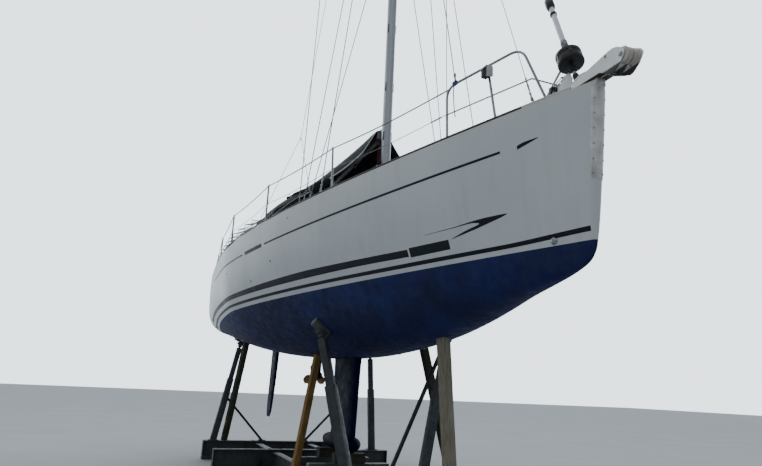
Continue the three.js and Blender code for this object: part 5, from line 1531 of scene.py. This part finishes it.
for name, foot_x, foot_y, pad_x, pad_y, pad_z, wide_post, half_x, half_y in POSTS:
    post = Shape()
    foot = V(foot_x, foot_y, BEAM_TOP)
    head = V(pad_x, pad_y, pad_z)
    post_length = (head - foot).length
    way = (head - foot).normalized()
    outer_end = foot + way * (post_length * 0.62)
    reach = wide_post * 0.8
    post.beam(foot + way * 6, outer_end, wide_post, wide_post, 8)
    post.beam(outer_end - way * 200, head - way * 120, wide_post * 0.78, wide_post * 0.78, 8)
    post.knob([(26, -230), (26, -100), (44, -96), (44, -60), (70, -40), (74, -8)], head, 24, 1, axis=way)
    post.slab(foot + V(-reach, -reach, 0.5), foot + V(reach, reach, 14), 3)
    for share in (0.2, 0.3, 0.4, 0.5, 0.58):
        spot = foot + way * (post_length * share)
        post.pin(13, -1, 1, spot + V(wide_post / 2 + 0.5, 0, 0), 16, 2, axis=(1, 0, 0))
    pad_under_hull(post, pad_x, pad_y, half_x, half_y)
    if name in BRACES:
        brace_head, brace_foot = BRACES[name]
        post.beam(brace_foot, brace_head, 42, 42, 4, 3)
        post.slab(brace_foot + V(-65, -65, -5.5), brace_foot + V(65, 65, 8), 3, 3)
        for dx, dy in ((48, 48), (48, -48), (-48, 48), (-48, -48)):
            post.bolt(brace_foot + V(dx, dy, 8), UP, 9, 8, 3)
    piece(name + "_column", post, [GALVANISED, PAD, BLACK, IRON], replaces=[name])

# Timber props: name, foot, head, width, finish and its slot
PROPS = [
    ("prop_aft_starboard", V(2300, -1180, BEAM_TOP), V(2850, -990, -200), 100, MOSSY, "mossy_timber"),
    ("prop_beside_keel", V(6150, -720, GROUND), V(6100, -420, -560), 95, YELLOW, "yellow_timber"),
    ("prop_forefoot", V(9350, 200, GROUND), V(9420, 0, -400), 110, PALE, "pale_timber"),
    ("prop_forward_port", V(8400, 810, GROUND), V(7180, 790, -300), 100, MOSSY, "mossy_timber"),
]
PROP_PARTS = 24
for name, foot, head, thick, wood, wood_slot in PROPS:
    way = (head - foot).normalized()
    side_a = way.cross(UP).normalized()
    side_b = way.cross(side_a)
    half = thick / 2
    corners = [(-half + 4, -half), (half - 4, -half), (half, -half + 4), (half, half - 4), (half - 4, half),
               (-half + 4, half), (-half, half - 4), (-half, -half + 4)]
    rings = []
    for k in range(PROP_PARTS + 1):
        ring = []
        for n, (a, b) in enumerate(corners):
            wander = 1.5 * math.sin(k * 1.7 + n * 2.3 + foot.x) + 1.2 * math.sin(k * 0.61 + foot.y)
            spot = foot + way * ((head - foot).length * k / PROP_PARTS) + side_a * (a + wander) + side_b * b
            if k == 0:
                spot -= way * ((spot.z - foot.z) / way.z)
            if k == PROP_PARTS:
                spot -= way * ((spot.z - (hull_height(spot.x, spot.y) - 1)) / way.z)
            ring.append(spot)
        rings.append(ring)
    piece(name + "_timber", Shape().loft(rings), wood, replaces=[name], smooth=30)

# Deck: non-skid panels, tracks, grab rails, cleats and vents
ROOF = [(3420, 1240, 1120, 1500), (4600, 1270, 1150, 1490), (6000, 1220, 1100, 1460), (7200, 1080, 960, 1415),
        (8200, 880, 750, 1355), (8900, 680, 540, 1280), (9350, 480, 360, 1230), (9600, 330, 250, 1190)]


def roof_row(x, column):
    """A column of the coachroof table at X, straight between its rows."""
    for a, b in zip(ROOF, ROOF[1:]):
        if x <= b[0]:
            return a[column] + (b[column] - a[column]) * clamp((x - a[0]) / (b[0] - a[0]))
    return ROOF[-1][column]


def roof_top(x, y):
    high, top = roof_row(x, 3) - 45, roof_row(x, 2)
    return high + 45 * (1 - clamp(abs(y) / (top - 50)))


def panel(shape, first, last, inner, outer, height, parts=14, rows=6, thick=2.2):
    """A thin panel on a surface: inner and outer give Y at X, height gives Z at X and Y."""
    rings = []
    for x in evenly(first, last, parts):
        spots = [(y, height(x, y)) for y in evenly(inner(x), outer(x), rows)]
        rings.append([V(x, y, z + thick) for y, z in spots] + [V(x, y, z - 6) for y, z in spots[::-1]])
    shape.loft(rings)


panels = Shape()
for side in (1, -1):
    outer = lambda x: side * (sheer_y(x) - 165)
    for first, last in ((3560, 4980), (5020, 6480), (6520, 7980), (8020, 9300), (9340, 10460)):
        panel(panels, first, last, lambda x: side * (max(roof_row(x, 1), 330) + 80 if x < 9600 else 340),
              outer, deck_top)
    for first, last in ((6260, 7340), (7660, 8980)):
        panel(panels, first, last, lambda x: side * 26, lambda x: side * (roof_row(x, 2) - 90), roof_top,
              rows=4, thick=6)
    panel(panels, 10300, 10470, lambda x: side * 20, lambda x: side * 300, deck_top, 4, 4)
    panel(panels, 11110, 11420, lambda x: side * 12, outer, deck_top, 6, 4)
piece("non_skid_panels", panels, NON_SKID, smooth=50)

gear = Shape()
for side in (1, -1):
    track_y = lambda x: side * (sheer_y(x) - 310)
    for k in range(40):
        x = 5200 + 40 * k
        low = deck_top(x, track_y(x))
        gear.slab((x, track_y(x) - 16, low + 1), (x + 40.2, track_y(x) + 16, low + 14), 0)
    spot = V(6100, track_y(6100), deck_top(6100, track_y(6100)))
    gear.slab(spot + V(-70, -26, 10), spot + V(70, 26, 40), 5, 1)
    gear.knob([(34, -16), (30, 0), (34, 16)], spot + V(0, 0, 62), 24, 1, axis=(0, 1, 0))
    run = [V(x, side * (roof_row(x, 2) - 150), roof_top(x, roof_row(x, 2) - 150))
           for x in range(4450, 7001, 425)]
    gear.tube([run[0]] + [p + V(0, 0, 62) for p in run] + [run[-1]], RAIL_TUBE, 12)
    for spot in run:
        gear.tube([spot - V(0, 0, 3), spot + V(0, 0, 62)], 10, 12)
        gear.knob([(26, -2), (26, 5), (12, 9)], spot, 16)
    for x, inset in ((10250, 150), (6600, 120), (760, 190)):
        y = side * (sheer_y(x) - inset)
        low = deck_top(x, y)
        for dx in (-45, 45):
            gear.knob([(20, -1), (14, 10), (13, 44)], V(x + dx, y, low), 16)
        gear.tube([V(x + dx, y, low + lift) for dx, lift in ((-130, 56), (-110, 50), (0, 46), (110, 50),
                                                             (130, 56))],
                  13, 14)
    for x, y in ((7700, 430), (9050, 260)):
        low = roof_top(x, y)
        gear.lathe([(0, -3), (74, -3), (74, 6), (60, 18), (58, 34), (40, 46), (0, 50)], V(x, side * y, low),
                   32)
    for x in (3900, 4700, 8300):
        y = side * (roof_row(x, 1) + 190)
        gear.knob([(34, -1), (34, 2), (28, 4)], V(x, y, deck_top(x, y)), 24)
    for k in range(3):
        y = side * (520 + 62 * k)
        low = roof_top(4250, y)
        gear.slab((4180, y - 24, low - 4), (4330, y + 24, low + 46), 8, 1)
        gear.slab((4240, y - 12, low + 46), (4350, y + 12, low + 58), 4, 1)
        gear.tube([V(4330, y, low + 20), V(5600, y, roof_top(5600, y) + 16),
                   V(7250, side * (150 + 40 * k), 1440)],
                  5, 8, 2)
    x, y = 3800, side * 690
    gear.knob([(62, -4), (62, 8), (52, 18), (42, 34), (38, 70), (46, 84), (56, 92), (56, 112), (30, 118)],
              V(x, y, roof_top(x, y)), 32)
gear.knob([(150, -20), (150, 2), (132, 12), (110, 14)], V(MAST_X, 0, roof_top(MAST_X, 0) - 4), 40)
piece("deck_gear", gear, [STEEL, BLACK, ROPE])

# Companionway: rails of the slide, frame of the opening and two instruments beside it
entry = Shape()
for side in (1, -1):
    entry.slab((3400, side * 338 - 18, 1496), (4880, side * 338 + 18, 1512), 3, 0)
    entry.slab((3402, side * 296 - 18, 1010), (3424, side * 296 + 18, 1478), 4, 0)
    entry.knob([(58, 0), (58, 10), (52, 14)], V(3421, side * 520, 1330), 32, 1, axis=(-1, 0, 0))
    entry.pin(46, 14, 15, V(3421, side * 520, 1330), 32, 2, axis=(-1, 0, 0))
piece("companionway_trim", entry, [TEAK, BLACK, GLASS])

# Frames, hinges and handles of the hatches; each lid carries its own
for word, aft, forward, half, top, lid in (
        ("fore_hatch", 9720, 10240, 260, 1200, 28), ("saloon_hatch", 5700, 6200, 250, 1490, 28),
        ("anchor_locker", 10520, 11060, 230, 1225, 22)):
    trim = Shape()
    face = top + lid
    if word == "anchor_locker":
        trim.tube([V(aft + 60, y, face + lift) for y, lift in ((-60, 0), (-56, 18), (56, 18), (60, 0))],
                  7, 10)
    else:
        x0, x1, y1 = aft + 8, forward - 8, half - 8
        for low, high in (((x0, -y1), (x0 + 26, y1)), ((x1 - 26, -y1), (x1, y1)), ((x0, -y1), (x1, 26 - y1)),
                          ((x0, y1 - 26), (x1, y1))):
            trim.slab((*low, face - 8), (*high, face + 3), 2)
        for y in (-half * 0.55, half * 0.55):
            trim.knob([(22, -1), (22, 8), (10, 12)], V(aft + 70, y, face), 20, 1)
            trim.slab((aft + 62, y - 6, face + 6), (aft + 130, y + 6, face + 16), 3, 1)
    piece(f"{word}_frame", trim, [ALLOY, BLACK], body=word)
    hinge = Shape()
    for y in (-half * 0.62, half * 0.62):
        hinge.slab((forward - 3, y - 30, top - 26), (forward + 3, y + 30, top - 3), 1.5)
    piece(f"{word}_hinges", hinge, STEEL)

# Teak in the cockpit: slats on the seats and the sole; the locker lids carry their own
def slats(shape, side, first, last, count, start, spacing, half, low, high):
    """Rows of slats along the boat, outwards from the start on one side."""
    for k in range(count):
        y = side * (start + spacing * k)
        shape.slab((first, y - half, low), (last, y + half, high), 1.5)


sole = Shape()
for side in (1, -1):
    slats(sole, side, 500, 3190, 8, 24, 46, 21, 480, 487)
    slats(sole, side, 500, 1880, 9, 432, 49, 22, 800, 807)
piece("cockpit_slats", sole, TEAK)
for side, word in SIDES:
    lid = Shape()
    slats(lid, side, 1916, 3084, 8, 497, 50, 22, 823.5, 830)
    piece(f"locker_{word}_slats", lid, TEAK, body=f"locker_{word}")

# Masthead gear and the windex
TOP = V(MAST_X, 0, MASTHEAD)
top_gear = Shape()
top_gear.tube([TOP + V(-60, 20, -20), TOP + V(-60, 20, 240)], 4, 8, 1)
top_gear.lathe([(0, 0), (26, 0), (28, 10), (26, 62), (16, 72), (0, 74)], TOP + V(40, 0, -12), 24, 1)
top_gear.tube([TOP + V(150, 0, -12), TOP + V(150, 0, 120)], 3, 8)
top_gear.tube([TOP + V(-10, 0, 112), TOP + V(330, 0, 112)], 2.5, 6, 1)
top_gear.plate(moved(MAST_X, MASTHEAD, [(-10, 78), (-60, 146), (60, 114)]), -1.5, 1.5, 1, 0.5)
piece("masthead_gear", top_gear, [STEEL, BLACK])

# Fittings in the skin: outlets on the topsides and below, a small chrome fitting by the stem, the shaft anode
skin = Shape()
for x, z, radius in ((7873, 942, 11), (7300, 470, 17), (5400, 560, 17), (3300, 640, 17), (6500, 300, 17)):
    for side in (1, -1):
        skin.knob([(radius, -4), (radius, 2), (radius * 0.6, 3.5)], V(x, side * hull_y(x, z), z), 18,
                  axis=outward(x, z, side))
for x, y, radius in ((7300, 420, 22), (6900, -380, 22), (5000, -520, 26), (3600, 300, 20), (8500, 210, 30)):
    skin.knob([(radius, -3), (radius, 3), (radius * 0.6, 5)], V(x, y, hull_height(x, y)), 20, 1, axis=-UP)
for side in (1, -1):
    skin.lathe([(0, -6), (30, -6), (30, 4), (22, 12), (10, 18), (0, 19)],
               V(11554, side * hull_y(11554, 36), 36), 24, 2, axis=V(0.35, side, -0.35))
skin.lathe([(16, -22), (34, -18), (36, 0), (34, 18), (16, 22)], PROPELLER + V(48, 0, 0), 24, 3,
           axis=(1, 0, 0))
piece("skin_fittings", skin, [BLACK, BRONZE, STEEL, GALVANISED])

# Compass and instruments on the pedestal
pod = Shape()
pod.lathe([(0, 0), (70, 0), (74, 12), (66, 34), (40, 54), (0, 62)], (1690, 0, 1518), 32)
pod.slab((1600, -150, 1440), (1634, 150, 1530), 8, 0)
for y in (-76, 76):
    pod.slab((1594, y - 55, 1450), (1601, y + 55, 1522), 3, 1)
piece("pedestal_instruments", pod, [BLACK, GLASS])

# Floor and light
FLOOR_REACH = 90
floor_mesh = bpy.data.meshes.new("floor")
corners = [(x * FLOOR_REACH, y * FLOOR_REACH, 0) for x, y in ((-1, -1), (1, -1), (1, 1), (-1, 1))]
floor_mesh.from_pydata(corners, [], [(0, 1, 2, 3)])
floor = add_object("floor", floor_mesh)
floor_paint = Paint("floor")
floor_paint.roughness(floor_paint.noise(2.0), 0.8, 0.9)
floor_paint.ramp(floor_paint.noise(0.5), [(0.3, (0.31, 0.32, 0.33)), (0.7, (0.35, 0.36, 0.37))])
floor_mesh.materials.append(floor_paint.done())

# A soft box of light all round, brightest behind the yacht as it is seen from the starboard bow
BRIGHT_SIDE = 158.9
world = bpy.data.worlds.new("studio")
world.use_nodes = True
world_nodes = world.node_tree.nodes
world_links = world.node_tree.links
background = world_nodes["Background"]
direction = world_nodes.new("ShaderNodeTexCoord")
toward = world_nodes.new("ShaderNodeVectorMath")
toward.operation = "DOT_PRODUCT"
toward.inputs[1].default_value = (math.cos(math.radians(BRIGHT_SIDE)), math.sin(math.radians(BRIGHT_SIDE)), 0)
world_links.new(direction.outputs["Generated"], toward.inputs[0])
glow = world_nodes.new("ShaderNodeValToRGB")
glow.color_ramp.interpolation = "EASE"
for element, position, colour in zip(glow.color_ramp.elements, (0.30, 0.72),
                                     ((0.40, 0.43, 0.47), (2.3, 2.55, 2.75))):
    element.position = position
    element.color = (*colour, 1)
world_links.new(toward.outputs["Value"], glow.inputs["Fac"])
world_links.new(glow.outputs["Color"], background.inputs["Color"])
bpy.context.scene.world = world


def area_light(name, place, target, size, power):
    data = bpy.data.lights.new(name, "AREA")
    data.shape = "DISK"
    data.size = size
    data.energy = power
    light = add_object(name, data)
    light.location = place
    light.rotation_euler = (Vector(target) - Vector(place)).to_track_quat("-Z", "Y").to_euler()


area_light("key", (-2, -3, 26), (0, 0, 2), 22, 1500)
area_light("side", (16, -18, 12), (2, 0, 3), 14, 160)
